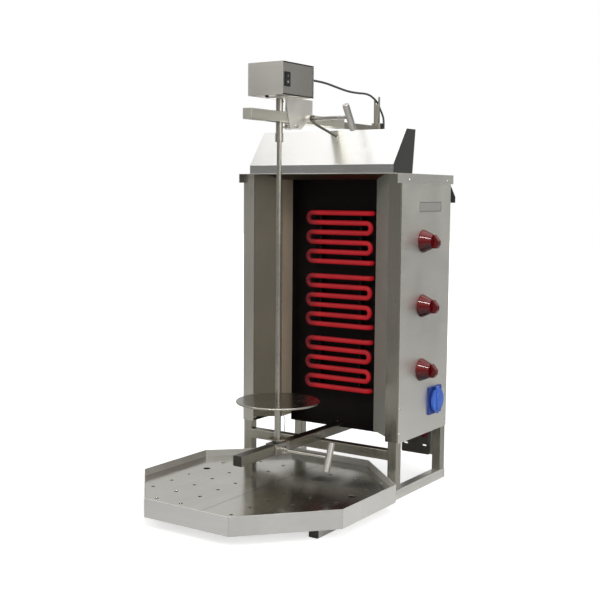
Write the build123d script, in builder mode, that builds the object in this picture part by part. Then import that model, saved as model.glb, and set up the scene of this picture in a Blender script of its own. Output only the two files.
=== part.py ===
from build123d import *
import math
import os

os.makedirs("parts", exist_ok=True)

# Electric vertical broiler on a tube stand. All sizes are in millimetres.
# Places are counted from the middle of the cabinet's front face at floor level:
# X to the right, Y to the rear, Z up.

# Square tube, sheet and running clearances
tube = 25
tube_wall = 1.5
arm_wall = 2
tube_corner = 2
sheet = 1.2
panel_sheet = 1.5
fit = 0.3
bore_fit = 0.05

# Stand
stand_width = 470
stand_depth = 270
cabinet_top = 806
rail_reach = 352
arm_plug_inset = 0.5
cap_plate = 2
plug_length = 10
cross_height = 98.5

# Cabinet shell
casing_bottom = 146
strip_width = 33.2
panel_bottom = 143.5
panel_front = 4
panel_rear = 268
cover_front = 21
cover_rear = 280
flange_drop = 22
back_bottom = 152
tongue_left = 105
tongue_right = 201
tongue_bottom = 57

# Hood
hood_width = 430
hood_front = -3
hood_lip = 21.8
hood_slope = 61
hood_ridge = 108
hood_rear = 95
hood_rise = 110.2

# Vent slots and cowl on the back
cowl_inner = 22
cowl_inset = 23
cowl_height = 47.4
cowl_drop = 32
cowl_depth = 30.8
vent_slots = 8
vent_pitch = 24
vent_width = 7
vent_height = 28

# Recess with its reflectors
recess_half = 202
throat_half = 142.6
throat_front = 46
throat_rear = 93
recess_bottom = 142.5
recess_inset = 12.5
wing_foot = 158
box_depth = 30.2
reflector_lip = 10.5
reflector_fall = 2.6

# Heating rods
rod = 13
rod_runs = 6
rod_pitch = 25.6
rod_half = 96
rod_y = 100
rod_bend = 12.6
rod_tail = 32
heater_inset = 99
heater_pitch = 167.5
clip_width = 8
clip_x = 62

# Knobs, their shafts and regulators
knob_y = 118
knob_inset = 166
knob_over_socket = 89
knob_base = 58
knob_skirt = 3
knob_neck = 34
knob_cone = 29
knob_reach = 45
knob_rim = 0.5
grip_thick = 14
grip_nose = 4
grip_end_top = 2
grip_end_bottom = 8
grip_slant = 7
grip_edge = 1.2
shaft = 6
shaft_reach = 20
shaft_hole = 12
regulator_size = 42
regulator_depth = 30

# Lidded socket
socket_y = 194
socket_z = 225
socket_flange = 72
socket_flange_thick = 4
socket_corner = 4
collar = 58
collar_reach = 3.3
socket_bore = 44
socket_depth = 16
barrel = 50
barrel_depth = 33
contact_hole = 6
contact_circle = 9.5
lid = 61
lid_thick = 6
lid_axis_x = 5.5
lid_axis_rise = 33.5
hinge_pin = 2.5
hinge_wall = 1.25
hinge_half = 12
knuckle_half = 8.7
contact_depth = 12
tab_width = 20
tab_reach = 5
tab_root = 2

# Badge plate and screws
badge_front = 91
badge_rear = 213
badge_inset = 67
badge_height = 26
badge_thick = 1
badge_corner = 2
screw_head = 7
screw_head_thick = 2
screw_shank = 3.8
panel_screws = ((9, 229.5), (9, 165.8), (251, 230.8), (251, 165.4))
flange_screw_inset = 14.5
flange_screw_places = (38, 246)

# Terminal box under the cabinet's rear edge, with the mains gland
terminal_left = 112
terminal_right = 192
terminal_depth = 10
terminal_top = 148.5
gland = 17
gland_reach = 12
gland_x = 182
gland_z = 112.8
gland_bore = 9
gland_neck = 12
gland_flange = 3
terminal_slot = 11
terminal_slot_inset = 12
terminal_slot_z = 81
tongue_slot = 13
tongue_slot_shift = 5

# Arms and column
lower_arm_reach = 337
arm_over_hood = 7.1
upper_arm_reach = 303
upper_arm_tail = 99
slot_width = 19
slot_length = 114
slot_centre = -177.5
column_gap = 11
stub_width = 20
stub_height = 15
stub_front = 50
spacer_height = 30
spacer_low = 330
spacer_inset = 156
post_half = 7
post_plate = 2
post_front = 3
post_side = 9
post_height = 63
post_side_height = 71
notch_left = -2
notch_depth = 12

# Spit
spit_y = -175
drive_tube = 17
drive_bore = 12.2
drive_length = 100
drive_gap = 0.5
drive_head = 18
drive_nut = 12.4
drive_shaft = 10
drive_shaft_reach = 16.5
set_pin = 4
set_pin_inset = 7
set_pin_reach = 12
coupling = 20
coupling_overhang = 2
coupling_length = 21
coupling_edge = 0.6
spit_rod_size = 12
spit_rod_gap = 2
spit_rod_tip = 2
pivot = 9.9
pivot_edge = 1
guard_gap = 0.5
plate = 204.6
plate_height = 248.5
plate_thick = 5
plate_edge = 1.5
sleeve = 16
guard = 44
guard_thick = 2.5
clip_wire = 2
clip_height = 228
clip_half = 13
clip_bend = 4
clip_shoulder = 9
clip_shoulder_drop = 20
clip_tip = 7
clip_tip_drop = 50

# Upper carriage
bracket_sheet = 2
bracket_clear = 0.3
bracket_rise = 56
bracket_top_thick = 3
bracket_front = -190
bracket_rear = -55
bracket_left = 28
cheek_front = -172
cheek_foot_front = -150
left_cheek_front = -129
left_cheek_foot_front = -135
cheek_foot_rear = -106
cheek_foot_drop = 14.5
cheek_knee_rise = 19.5
cheek_corner = 8
saddle_front = -140
saddle_rear = -70
saddle_thick = 3.2
drive_hole = 14
bolt = 6
bolt_y = -125
bolt_drop = 7.5
bolt_spacer = 9
bolt_head = 10
bolt_head_thick = 3.9
bolt_overhang = 9
clamp_y = -71.4
clamp_rise = 14.2
clamp_screw = 9
clamp_boss = 16
clamp_boss_reach = 7.2
clamp_reach = 125
clamp_bar = 16.5
clamp_bar_length = 68
clamp_bar_tilt = 33
clamp_bar_edge = 1
clamp_bar_bite = 2
lock_nut = 18
lock_nut_thick = 7.7
lever = 6.5
lever_root = 5.6
lever_knee = (52, -11.6, -29.7)
lever_tip = (105, -11.6, -46.7)
lever_bend = 12

# Motor box
motor_width = 100
motor_front = -233
motor_rear = -105
motor_height = 76
cover_inset = 0.4
cover_gap = 1.8
gearbox_half = 30
gearbox_front = -200
gearbox_rear = -130
gearbox_height = 24
gearbox_corner = 6
motor_can = 44
motor_can_height = 44
motor_can_y = -152
motor_gland_x = 25
motor_gland_rise = 47.5
motor_gland = 14
motor_gland_reach = 10
motor_gland_neck = 9
motor_gland_nut = 4
motor_gland_taper = 2.5

# Rocker switch on the right of the motor box
switch_y = -215.5
switch_rise = 36
switch_width = 23
switch_height = 33
switch_bezel = 1.6
switch_body_width = 20
switch_body_height = 30
switch_depth = 20
switch_corner = 1.5
switch_pocket = 6
rocker_width = 18.4
rocker_height = 27
rocker_pivot = 3.6
rocker_pin = 2
rocker_room = 28.8
rocker_fit = 0.2
rocker_heel = 3
rocker_crest = 1.6
rocker_valley = 0.2
rocker_pin_bite = 0.6
rocker_pin_gap = 0.1

# Lower carriage
carriage_size = 30
carriage_front = -204
carriage_rear = -144
lower_clamp_y = -170
lower_clamp_z = 131.5
lower_boss = 20
lower_boss_reach = 11
lower_clamp_reach = 138.5
lower_bar = 16
lower_bar_bore = 12
lower_bar_length = 70
lower_bar_tilt = -21
lower_bar_bite = 0.5
cup = 28
cup_height = 5.5

# Drip pan and grids
pan_width = 582
pan_front = 516
pan_rear = 76
pan_side_step = 171
pan_front_step = 189
pan_rear_step = 162
pan_shift = 8
pan_height = 44
pan_sheet = 1.5
ledge_height = 25
ledge_width = 12
grid_sheet = 1.5
grid_fit = 0.5
grid_split = 1.2
drain_hole = 9
finger_hole = 18
drain_spacing = 72.5
drain_pitch = 68.2
drain_centre = -215
drain_rows = {1: 8, 2: 8, 3: 6}
finger_column = 3
finger_row = 3

# Motor cable and the grommet that it enters the back panel through
cable = 5.5
cable_gap = 0.5
cable_exit_inset = 116
grommet = 14
grommet_neck = 10
grommet_lip = 2
corner_share = 0.45

# Places that follow from the sizes above
half = stand_width / 2
leg_inner = half - tube
leg_x = half - tube / 2
front_leg_y = tube / 2
rear_leg_y = stand_depth - tube / 2
arm_height = cross_height + tube
arm_top = arm_height + tube
arm_middle = arm_height + tube / 2
column_front = stand_depth + column_gap
column_rear = column_front + tube
column_y = column_front + tube / 2
cover_top = cabinet_top + sheet
upper_arm_height = cover_top + hood_rise + arm_over_hood
upper_arm_middle = upper_arm_height + tube / 2
column_top = upper_arm_height + tube + 0.5
wall_outer = half + sheet
panel_outer = wall_outer + panel_sheet
strip_inner = wall_outer - strip_width
flange_bottom = cabinet_top - flange_drop
back_outer = stand_depth + sheet
recess_top = cabinet_top - recess_inset
cowl_top = cabinet_top - cowl_inset
cowl_bottom = cowl_top - cowl_height
spacer_heights = (spacer_low, cabinet_top - spacer_inset)
cable_exit_z = cabinet_top - cable_exit_inset
heater_back = throat_rear + box_depth - sheet
heater_heights = [cabinet_top - heater_inset - i * heater_pitch for i in range(3)]
knob_low = socket_z + knob_over_socket
knob_pitch = (cabinet_top - knob_inset - knob_low) / 2
knob_heights = [knob_low + i * knob_pitch for i in (2, 1, 0)]
badge_z = cabinet_top - badge_inset - badge_height / 2
flange_screws = [(y, cabinet_top - flange_screw_inset) for y in flange_screw_places]
bracket_top = upper_arm_height + bracket_rise
motor_bottom = bracket_top + bracket_top_thick
bolt_z = upper_arm_height - bolt_drop
clamp_z = upper_arm_height + clamp_rise
motor_gland_z = motor_bottom + motor_gland_rise
switch_z = motor_bottom + switch_rise
drive_top = bracket_top - drive_gap
drive_bottom = drive_top - drive_length
drive_bore_top = drive_top - drive_head
drive_shaft_top = motor_bottom + drive_shaft_reach

# The frame's origin is on the floor, under the middle of the whole outline
centre_x = pan_shift
front_y = (pan_front - column_rear) / 2


def level(z, x=0, y=0):
    """A level plane at a height, facing up. Its X is to the right and its Y to the rear."""
    return Plane(origin=(centre_x + x, front_y + y, z))


def side(x, y=0, z=0):
    """An upright plane facing right. Its X is to the rear and its Y up."""
    return Plane(origin=(centre_x + x, front_y + y, z), x_dir=(0, 1, 0), z_dir=(1, 0, 0))


def face(y, x=0, z=0):
    """An upright plane facing the front. Its X is to the right and its Y up."""
    return Plane(origin=(centre_x + x, front_y + y, z), x_dir=(1, 0, 0), z_dir=(0, -1, 0))


def point(x, y, z):
    """A point given by its place from the cabinet's front."""
    return (centre_x + x, front_y + y, z)


def axis_right(y, z):
    return Axis(point(0, y, z), (1, 0, 0))


def axis_rear(x, z):
    return Axis(point(x, 0, z), (0, 1, 0))


def axis_up(x, y):
    return Axis(point(x, y, 0), (0, 0, 1))


def outline(*corners):
    """A face inside the given corners, for use in a sketch."""
    Polygon(*corners, align=None)


def folded(*corners):
    """The section of a folded sheet, on the left of a line of corners, for use in a sketch."""
    with BuildLine() as section:
        Polyline(*corners)
        offset(amount=sheet, side=Side.LEFT, kind=Kind.INTERSECTION)
    make_face(section.edges())


def round_bar(plane, size, length, bore=0):
    """A round bar or tube from a plane along its normal, for use in a part."""
    with BuildSketch(plane) as section:
        Circle(size / 2)
        if bore:
            Circle(bore / 2, mode=Mode.SUBTRACT)
    extrude(section.sketch, amount=length)


def round_hole(plane, size, depth):
    """A round hole from a plane, against its normal, for use in a part."""
    with BuildSketch(plane) as section:
        Circle(size / 2)
    extrude(section.sketch, amount=-depth, mode=Mode.SUBTRACT)


def square_tube(plane, length):
    """A length of square tube from a plane along its normal."""
    with BuildPart() as made:
        with BuildSketch(plane):
            RectangleRounded(tube, tube, tube_corner)
            Rectangle(tube - 2 * tube_wall, tube - 2 * tube_wall, mode=Mode.SUBTRACT)
        extrude(amount=length)
    return made


def arm(reach, rear, middle):
    """A level arm of square tube along Y, with a plate welded on its front end and an open rear end."""
    with BuildPart() as made:
        with BuildSketch(face(-reach, 0, middle)):
            RectangleRounded(tube, tube, tube_corner)
        extrude(amount=-reach - rear)
        with BuildSketch(face(-reach + arm_wall, 0, middle)):
            Rectangle(tube - 2 * arm_wall, tube - 2 * arm_wall)
        extrude(amount=-reach - rear, mode=Mode.SUBTRACT)
    return made


# Floor rails, on which the whole grill stands
rail_length = rail_reach - cap_plate + stand_depth

rail_left = square_tube(face(stand_depth, -leg_x, tube / 2), rail_length)
rail_left.part.label = "rail_left"
export_step(rail_left.part, "parts/rail_left.step")

rail_right = square_tube(face(stand_depth, leg_x, tube / 2), rail_length)
rail_right.part.label = "rail_right"
export_step(rail_right.part, "parts/rail_right.step")

# Plastic caps that plug both ends of the floor rails, and a plug pressed into the lower arm's rear end
plug = tube - 2 * tube_wall - fit
arm_plug = tube - 2 * arm_wall

with BuildPart() as rail_end_caps:
    for x in (-leg_x, leg_x):
        with BuildSketch(face(-rail_reach, x, tube / 2)):
            RectangleRounded(tube, tube, tube_corner)
        extrude(amount=-cap_plate)
        with BuildSketch(face(-rail_reach + cap_plate, x, tube / 2)):
            Rectangle(plug, plug)
        extrude(amount=-plug_length)
        with BuildSketch(face(stand_depth + cap_plate, x, tube / 2)):
            RectangleRounded(tube, tube, tube_corner)
        extrude(amount=cap_plate)
        with BuildSketch(face(stand_depth, x, tube / 2)):
            Rectangle(plug, plug)
        extrude(amount=plug_length)
    with BuildSketch(face(column_rear - arm_plug_inset, 0, arm_middle)):
        Rectangle(arm_plug, arm_plug)
    extrude(amount=plug_length)
rail_end_caps.part.label = "rail_end_caps"
export_step(rail_end_caps.part, "parts/rail_end_caps.step")

# Legs, from the rails up to the cabinet's top
leg_length = cabinet_top - tube

leg_front_left = square_tube(level(tube, -leg_x, front_leg_y), leg_length)
leg_front_left.part.label = "leg_front_left"
export_step(leg_front_left.part, "parts/leg_front_left.step")

leg_front_right = square_tube(level(tube, leg_x, front_leg_y), leg_length)
leg_front_right.part.label = "leg_front_right"
export_step(leg_front_right.part, "parts/leg_front_right.step")

leg_rear_left = square_tube(level(tube, -leg_x, rear_leg_y), leg_length)
leg_rear_left.part.label = "leg_rear_left"
export_step(leg_rear_left.part, "parts/leg_rear_left.step")

leg_rear_right = square_tube(level(tube, leg_x, rear_leg_y), leg_length)
leg_rear_right.part.label = "leg_rear_right"
export_step(leg_rear_right.part, "parts/leg_rear_right.step")

# Cross rails: the lower arm lies on the front one and under the rear one
cross_length = 2 * leg_inner

cross_rail_front = square_tube(side(-leg_inner, front_leg_y, arm_height - tube / 2), cross_length)
cross_rail_front.part.label = "cross_rail_front"
export_step(cross_rail_front.part, "parts/cross_rail_front.step")

cross_rail_rear = square_tube(side(-leg_inner, rear_leg_y, arm_top + tube / 2), cross_length)
cross_rail_rear.part.label = "cross_rail_rear"
export_step(cross_rail_rear.part, "parts/cross_rail_rear.step")


def casing(way):
    """Front strip, side wall and bottom of one side of the cabinet. way is 1 for the right, -1 for the left."""
    with BuildPart() as made:
        with BuildSketch(level(casing_bottom)):
            outline(
                (way * strip_inner, 0),
                (way * strip_inner, -sheet),
                (way * wall_outer, -sheet),
                (way * wall_outer, stand_depth),
                (way * half, stand_depth),
                (way * half, 0),
            )
        extrude(amount=cabinet_top - casing_bottom)
        with BuildSketch(level(casing_bottom)):
            with Locations((way * (strip_inner + half) / 2, stand_depth / 2)):
                Rectangle(half - strip_inner, stand_depth)
            with Locations((way * leg_x, front_leg_y), (way * leg_x, rear_leg_y)):
                Rectangle(tube, tube, mode=Mode.SUBTRACT)
        extrude(amount=sheet)
    return made


def wall_holes(x, depth):
    """Holes in the right-hand wall for the knob shafts, the socket and the panel screws."""
    with BuildSketch(side(x)) as holes:
        with Locations(*[(knob_y, z) for z in knob_heights]):
            Circle(shaft_hole / 2)
        with Locations((socket_y, socket_z)):
            Circle(barrel / 2 + fit)
        with Locations(*panel_screws):
            Circle(screw_shank / 2 + bore_fit)
    extrude(holes.sketch, amount=-depth, mode=Mode.SUBTRACT)


def flange_holes(x, depth):
    """Holes for the screws that hold the top cover's flanges."""
    with BuildSketch(side(x)) as holes:
        with Locations(*flange_screws):
            Circle(screw_shank / 2 + bore_fit)
    extrude(holes.sketch, amount=-depth, mode=Mode.SUBTRACT)


with BuildPart() as casing_left:
    add(casing(-1).part)
    flange_holes(-half, sheet)
casing_left.part.label = "casing_left"
export_step(casing_left.part, "parts/casing_left.step")

with BuildPart() as casing_right:
    add(casing(1).part)
    wall_holes(wall_outer, sheet)
    flange_holes(wall_outer, sheet)
casing_right.part.label = "casing_right"
export_step(casing_right.part, "parts/casing_right.step")

# Brushed panel on the right-hand wall, with the controls
with BuildPart() as side_panel:
    with BuildSketch(side(wall_outer)):
        with Locations(((panel_front + panel_rear) / 2, (panel_bottom + cabinet_top) / 2)):
            Rectangle(panel_rear - panel_front, cabinet_top - panel_bottom)
    extrude(amount=panel_sheet)
    wall_holes(panel_outer, panel_sheet)
    flange_holes(panel_outer, panel_sheet)
side_panel.part.label = "side_panel"
export_step(side_panel.part, "parts/side_panel.step")

# Top cover: one sheet with both sides and the rear folded down
cover_left = -wall_outer - sheet
cover_right = panel_outer + sheet

with BuildPart() as top_cover:
    with BuildSketch(face(-cover_front)):
        outline(
            (-wall_outer, flange_bottom),
            (-wall_outer, cabinet_top),
            (panel_outer, cabinet_top),
            (panel_outer, flange_bottom),
            (cover_right, flange_bottom),
            (cover_right, cover_top),
            (cover_left, cover_top),
            (cover_left, flange_bottom),
        )
    extrude(amount=-cover_front - cover_rear)
    with BuildSketch(face(cover_rear)):
        with Locations(((cover_left + cover_right) / 2, (flange_bottom + cover_top) / 2)):
            Rectangle(cover_right - cover_left, cover_top - flange_bottom)
    extrude(amount=sheet)
    flange_holes(cover_right, sheet)
    flange_holes(-wall_outer, sheet)
top_cover.part.label = "top_cover"
export_step(top_cover.part, "parts/top_cover.step")

# Sloped hood on the top cover, open below
with BuildPart() as hood:
    with BuildSketch(side(-hood_width / 2)):
        outline(
            (hood_front, cover_top),
            (hood_rear, cover_top),
            (hood_ridge, cover_top + hood_rise),
            (hood_slope, cover_top + hood_rise),
            (hood_front, cover_top + hood_lip),
        )
    extrude(amount=hood_width)
    offset(amount=-sheet, openings=hood.faces().sort_by(Axis.Z)[0])
hood.part.label = "hood"
export_step(hood.part, "parts/hood.step")

# Back panel with vent slots, a cable hole and a slotted tongue behind the terminal box
cable_x = tube / 2 + cable / 2 + cable_gap
vent_x = (cowl_inner + half) / 2
vent_z = (cowl_top + cowl_bottom) / 2

with BuildPart() as back_panel:
    with BuildSketch(face(stand_depth)):
        with Locations((0, (back_bottom + cabinet_top) / 2)):
            Rectangle(stand_width, cabinet_top - back_bottom)
        with Locations(((tongue_left + tongue_right) / 2, (tongue_bottom + back_bottom) / 2)):
            Rectangle(tongue_right - tongue_left, back_bottom - tongue_bottom)
        with Locations((-vent_x, vent_z), (vent_x, vent_z)):
            with GridLocations(vent_pitch, 0, vent_slots, 1):
                Rectangle(vent_width, vent_height, mode=Mode.SUBTRACT)
        with Locations((cable_x, cable_exit_z)):
            Circle(grommet_neck / 2, mode=Mode.SUBTRACT)
        for x in (terminal_left + terminal_slot_inset, terminal_right - terminal_slot_inset):
            with Locations((x - tongue_slot_shift, terminal_slot_z)):
                Rectangle(tongue_slot, tongue_slot / 2, mode=Mode.SUBTRACT)
    extrude(amount=-sheet)
back_panel.part.label = "back_panel"
export_step(back_panel.part, "parts/back_panel.step")


def cowl(left):
    """One half of the vent cowl: sloped top, upright rear and two cheeks, open below and at the vent slots."""
    with BuildPart() as made:
        with BuildSketch(side(left)):
            outline(
                (back_outer, cowl_bottom),
                (back_outer + cowl_depth, cowl_bottom),
                (back_outer + cowl_depth, cowl_top - cowl_drop),
                (back_outer, cowl_top),
            )
        extrude(amount=half - cowl_inner)
        open_faces = [made.faces().sort_by(Axis.Z)[0], made.faces().sort_by(Axis.Y)[0]]
        offset(amount=-sheet, openings=open_faces)
    return made


with BuildPart() as vent_cowl:
    add(cowl(-half).part)
    add(cowl(cowl_inner).part)
vent_cowl.part.label = "vent_cowl"
export_step(vent_cowl.part, "parts/vent_cowl.step")

# Reflector wings, splayed from the narrow heater box to the cabinet's front
with BuildPart() as reflector_right:
    with BuildSketch(level(wing_foot)):
        folded(
            (throat_half, throat_rear),
            (throat_half, throat_front),
            (recess_half, 0),
            (leg_inner - fit, 0),
        )
    extrude(amount=cabinet_top - wing_foot)
reflector_right.part.label = "reflector_right"
export_step(reflector_right.part, "parts/reflector_right.step")

with BuildPart() as reflector_left:
    mirror(reflector_right.part, about=side(0))
reflector_left.part.label = "reflector_left"
export_step(reflector_left.part, "parts/reflector_left.step")

# Upper reflector between the wings
reflector_slope_front = throat_front - (cabinet_top - sheet - recess_top) * reflector_fall

with BuildPart() as reflector_top:
    with BuildSketch(side(-recess_half)):
        folded(
            (reflector_slope_front - reflector_lip, cabinet_top - sheet),
            (reflector_slope_front, cabinet_top - sheet),
            (throat_front, recess_top),
            (throat_rear, recess_top),
        )
    extrude(amount=2 * recess_half)
    with BuildSketch(level(recess_bottom)):
        outline(
            (-recess_half, 0),
            (recess_half, 0),
            (throat_half, throat_front),
            (throat_half, throat_rear),
            (-throat_half, throat_rear),
            (-throat_half, throat_front),
        )
    extrude(amount=cover_top - recess_bottom, mode=Mode.INTERSECT)
reflector_top.part.label = "reflector_top"
export_step(reflector_top.part, "parts/reflector_top.step")

# Black box behind the heating rods, open to the front, with a notch that the lower arm passes through
with BuildPart() as heater_box:
    with BuildSketch(face(throat_rear)):
        with Locations((0, (recess_bottom + recess_top) / 2)):
            Rectangle(2 * throat_half + 2 * sheet, recess_top - recess_bottom + 2 * sheet)
    extrude(amount=-box_depth)
    offset(amount=-sheet, openings=heater_box.faces().sort_by(Axis.Y)[0])
    with BuildSketch(face(throat_rear)):
        with Locations((0, arm_middle)):
            Rectangle(tube + 2 * fit, tube + 2 * fit)
    extrude(amount=-box_depth, mode=Mode.SUBTRACT)
    with BuildSketch(face(throat_rear)):
        for top in heater_heights:
            with Locations((rod_half, top), (rod_half, top - (rod_runs - 1) * rod_pitch)):
                Circle(rod / 2 + fit)
    extrude(amount=-box_depth, mode=Mode.SUBTRACT)
heater_box.part.label = "heater_box"
export_step(heater_box.part, "parts/heater_box.step")


def heater(top):
    """One heating rod: a zigzag of level runs, with both ends bent to the rear through the box."""
    corners = [point(rod_half, rod_y + rod_tail, top)]
    for run in range(rod_runs):
        height = top - run * rod_pitch
        way = 1 if run % 2 == 0 else -1
        corners.append(point(way * rod_half, rod_y, height))
        corners.append(point(-way * rod_half, rod_y, height))
    last = top - (rod_runs - 1) * rod_pitch
    corners.append(point(rod_half, rod_y + rod_tail, last))
    with BuildPart() as made:
        with BuildLine() as route:
            FilletPolyline(*corners, radius=rod_bend)
        with BuildSketch(Plane(origin=route.line @ 0, z_dir=route.line % 0)):
            Circle(rod / 2)
        sweep(path=route.line)
    return made


heater_upper = heater(heater_heights[0])
heater_upper.part.label = "heater_upper"
export_step(heater_upper.part, "parts/heater_upper.step")

heater_middle = heater(heater_heights[1])
heater_middle.part.label = "heater_middle"
export_step(heater_middle.part, "parts/heater_middle.step")

heater_lower = heater(heater_heights[2])
heater_lower.part.label = "heater_lower"
export_step(heater_lower.part, "parts/heater_lower.step")

# Bars on the box's back that the rods' runs lie against
rod_rear = rod_y + rod / 2 + bore_fit
rod_span = (rod_runs - 1) * rod_pitch

with BuildPart() as heater_clips:
    for top in heater_heights:
        with BuildSketch(face(rod_rear)):
            with Locations((-clip_x, top - rod_span / 2), (clip_x, top - rod_span / 2)):
                Rectangle(clip_width, rod_span + rod)
        extrude(amount=-(heater_back - rod_rear))
heater_clips.part.label = "heater_clips"
export_step(heater_clips.part, "parts/heater_clips.step")

shaft_tip = panel_outer + shaft_reach


def knob(height):
    """A conical knob with a slanted grip across its end, bored for its shaft."""
    base = panel_outer + fit
    neck = knob_neck / 2
    with BuildPart() as made:
        with BuildSketch(face(knob_y)):
            outline(
                (base, height),
                (base, height + knob_base / 2),
                (base + knob_skirt, height + knob_base / 2 - knob_rim),
                (base + knob_cone, height + neck),
                (base + knob_cone, height),
            )
        revolve(axis=axis_right(knob_y, height))
        with BuildSketch(face(knob_y - grip_thick / 2)):
            outline(
                (base + knob_skirt, height + neck),
                (base + knob_cone + grip_nose, height + neck),
                (base + knob_reach, height + grip_end_top),
                (base + knob_reach, height - grip_end_bottom),
                (base + knob_reach - grip_slant, height - neck),
                (base + knob_skirt, height - neck),
            )
        extrude(amount=-grip_thick)
        fillet(made.faces().sort_by(Axis.X)[-1].edges(), radius=grip_edge)
        round_hole(side(shaft_tip + fit, knob_y, height), shaft + 2 * bore_fit, shaft_tip + fit - base)
    return made


knob_upper = knob(knob_heights[0])
knob_upper.part.label = "knob_upper"
export_step(knob_upper.part, "parts/knob_upper.step")

knob_middle = knob(knob_heights[1])
knob_middle.part.label = "knob_middle"
export_step(knob_middle.part, "parts/knob_middle.step")

knob_lower = knob(knob_heights[2])
knob_lower.part.label = "knob_lower"
export_step(knob_lower.part, "parts/knob_lower.step")

# Energy regulators behind the wall, with their shafts through it
with BuildPart() as regulators:
    for height in knob_heights:
        with BuildSketch(side(half, knob_y, height)):
            Rectangle(regulator_size, regulator_size)
        extrude(amount=-regulator_depth)
        round_bar(side(half, knob_y, height), shaft, shaft_tip - half)
regulators.part.label = "regulators"
export_step(regulators.part, "parts/regulators.step")

# Socket: square flange and round collar outside, barrel with the contact insert inside, and two hinge lugs
flange_outer = panel_outer + socket_flange_thick
collar_outer = flange_outer + collar_reach
insert_x = collar_outer - socket_depth
lid_axis_z = socket_z + lid_axis_rise
hinge_x = flange_outer + lid_axis_x
hinge_lug = hinge_pin + 2 * hinge_wall

with BuildPart() as socket_body:
    with BuildSketch(side(panel_outer, socket_y, socket_z)):
        RectangleRounded(socket_flange, socket_flange, socket_corner)
    extrude(amount=socket_flange_thick)
    round_bar(side(panel_outer, socket_y, socket_z), collar, socket_flange_thick + collar_reach)
    round_bar(side(half - barrel_depth, socket_y, socket_z), barrel, barrel_depth + panel_outer - half)
    round_hole(side(collar_outer, socket_y, socket_z), socket_bore, socket_depth)
    with BuildSketch(side(insert_x, socket_y, socket_z)):
        with PolarLocations(contact_circle, 3, start_angle=90):
            Circle(contact_hole / 2)
    extrude(amount=-contact_depth, mode=Mode.SUBTRACT)
    for way in (-1, 1):
        with BuildSketch(face(socket_y + way * (hinge_half + knuckle_half) / 2)):
            with Locations((hinge_x, lid_axis_z)):
                Circle(hinge_lug / 2)
            with Locations(((panel_outer + hinge_x) / 2, lid_axis_z)):
                Rectangle(hinge_x - panel_outer, hinge_lug)
        extrude(amount=(hinge_half - knuckle_half) / 2 - fit / 2, both=True)
    round_bar(face(socket_y + hinge_half, hinge_x, lid_axis_z), hinge_pin, 2 * hinge_half)
socket_body.part.label = "socket_body"
export_step(socket_body.part, "parts/socket_body.step")

# Hinged lid of the socket: round disc with a thumb tab, arm and knuckle
with BuildPart() as socket_lid:
    lid_inner = collar_outer + fit
    with BuildSketch(side(lid_inner, socket_y, socket_z)):
        Circle(lid / 2)
        outline(
            (-tab_width / 2, tab_root - lid / 2),
            (tab_width / 2, tab_root - lid / 2),
            (0, -lid / 2 - tab_reach),
        )
    extrude(amount=lid_thick)
    with BuildSketch(side(lid_inner, socket_y)):
        with Locations((0, (socket_z + lid_axis_z) / 2)):
            Rectangle(2 * knuckle_half, lid_axis_z - socket_z)
    extrude(amount=hinge_x - lid_inner + hinge_lug / 2)
    round_bar(face(socket_y + knuckle_half, hinge_x, lid_axis_z), hinge_lug, 2 * knuckle_half)
    round_hole(face(socket_y - knuckle_half, hinge_x, lid_axis_z), hinge_pin + 2 * bore_fit, 2 * knuckle_half)
socket_lid.part.label = "socket_lid"
export_step(socket_lid.part, "parts/socket_lid.step")

# Blank badge plate above the knobs
with BuildPart() as badge_plate:
    with BuildSketch(side(panel_outer, (badge_front + badge_rear) / 2, badge_z)):
        RectangleRounded(badge_rear - badge_front, badge_height, badge_corner)
    extrude(amount=badge_thick)
badge_plate.part.label = "badge_plate"
export_step(badge_plate.part, "parts/badge_plate.step")


def screw(y, z, outer, inner):
    """A screw whose domed head lies on the outer face and whose shank ends at the inner face."""
    way = 1 if outer > inner else -1
    with BuildSketch(face(y)) as dome:
        outline(
            (inner, z),
            (inner, z + screw_shank / 2),
            (outer, z + screw_shank / 2),
            (outer, z + screw_head / 2),
            (outer + way * screw_head_thick / 2, z + screw_head / 2),
            (outer + way * screw_head_thick, z + screw_head / 4),
            (outer + way * screw_head_thick, z),
        )
    revolve(dome.sketch, axis=axis_right(y, z))


# Screws of the side panel and of the top cover's flanges
with BuildPart() as screws:
    for y, z in panel_screws:
        screw(y, z, panel_outer, half)
    for y, z in flange_screws:
        screw(y, z, cover_right, half)
        screw(y, z, cover_left, -half)
screws.part.label = "panel_screws"
export_step(screws.part, "parts/panel_screws.step")

# Terminal box on the back panel's tongue, open to the tongue, with two slots
terminal_bottom = tongue_bottom + fit
terminal_x = (terminal_left + terminal_right) / 2
terminal_front = stand_depth - terminal_depth

with BuildPart() as terminal_box:
    with BuildSketch(face(terminal_front)):
        with Locations((terminal_x, (terminal_bottom + terminal_top) / 2)):
            Rectangle(terminal_right - terminal_left, terminal_top - terminal_bottom)
    extrude(amount=-terminal_depth)
    offset(amount=-sheet, openings=terminal_box.faces().sort_by(Axis.Y)[-1])
    with BuildSketch(face(terminal_front)):
        with Locations((terminal_left + terminal_slot_inset, terminal_slot_z)):
            Rectangle(terminal_slot, terminal_slot / 2)
        with Locations((terminal_right - terminal_slot_inset, terminal_slot_z)):
            Rectangle(terminal_slot, terminal_slot / 2)
        with Locations((gland_x, gland_z)):
            Circle(gland_neck / 2 + bore_fit)
    extrude(amount=-sheet, mode=Mode.SUBTRACT)
terminal_box.part.label = "terminal_box"
export_step(terminal_box.part, "parts/terminal_box.step")

# Mains gland in the terminal box, and the grommet that the motor cable enters the back panel through
gland_y = terminal_front - gland_reach

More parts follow.
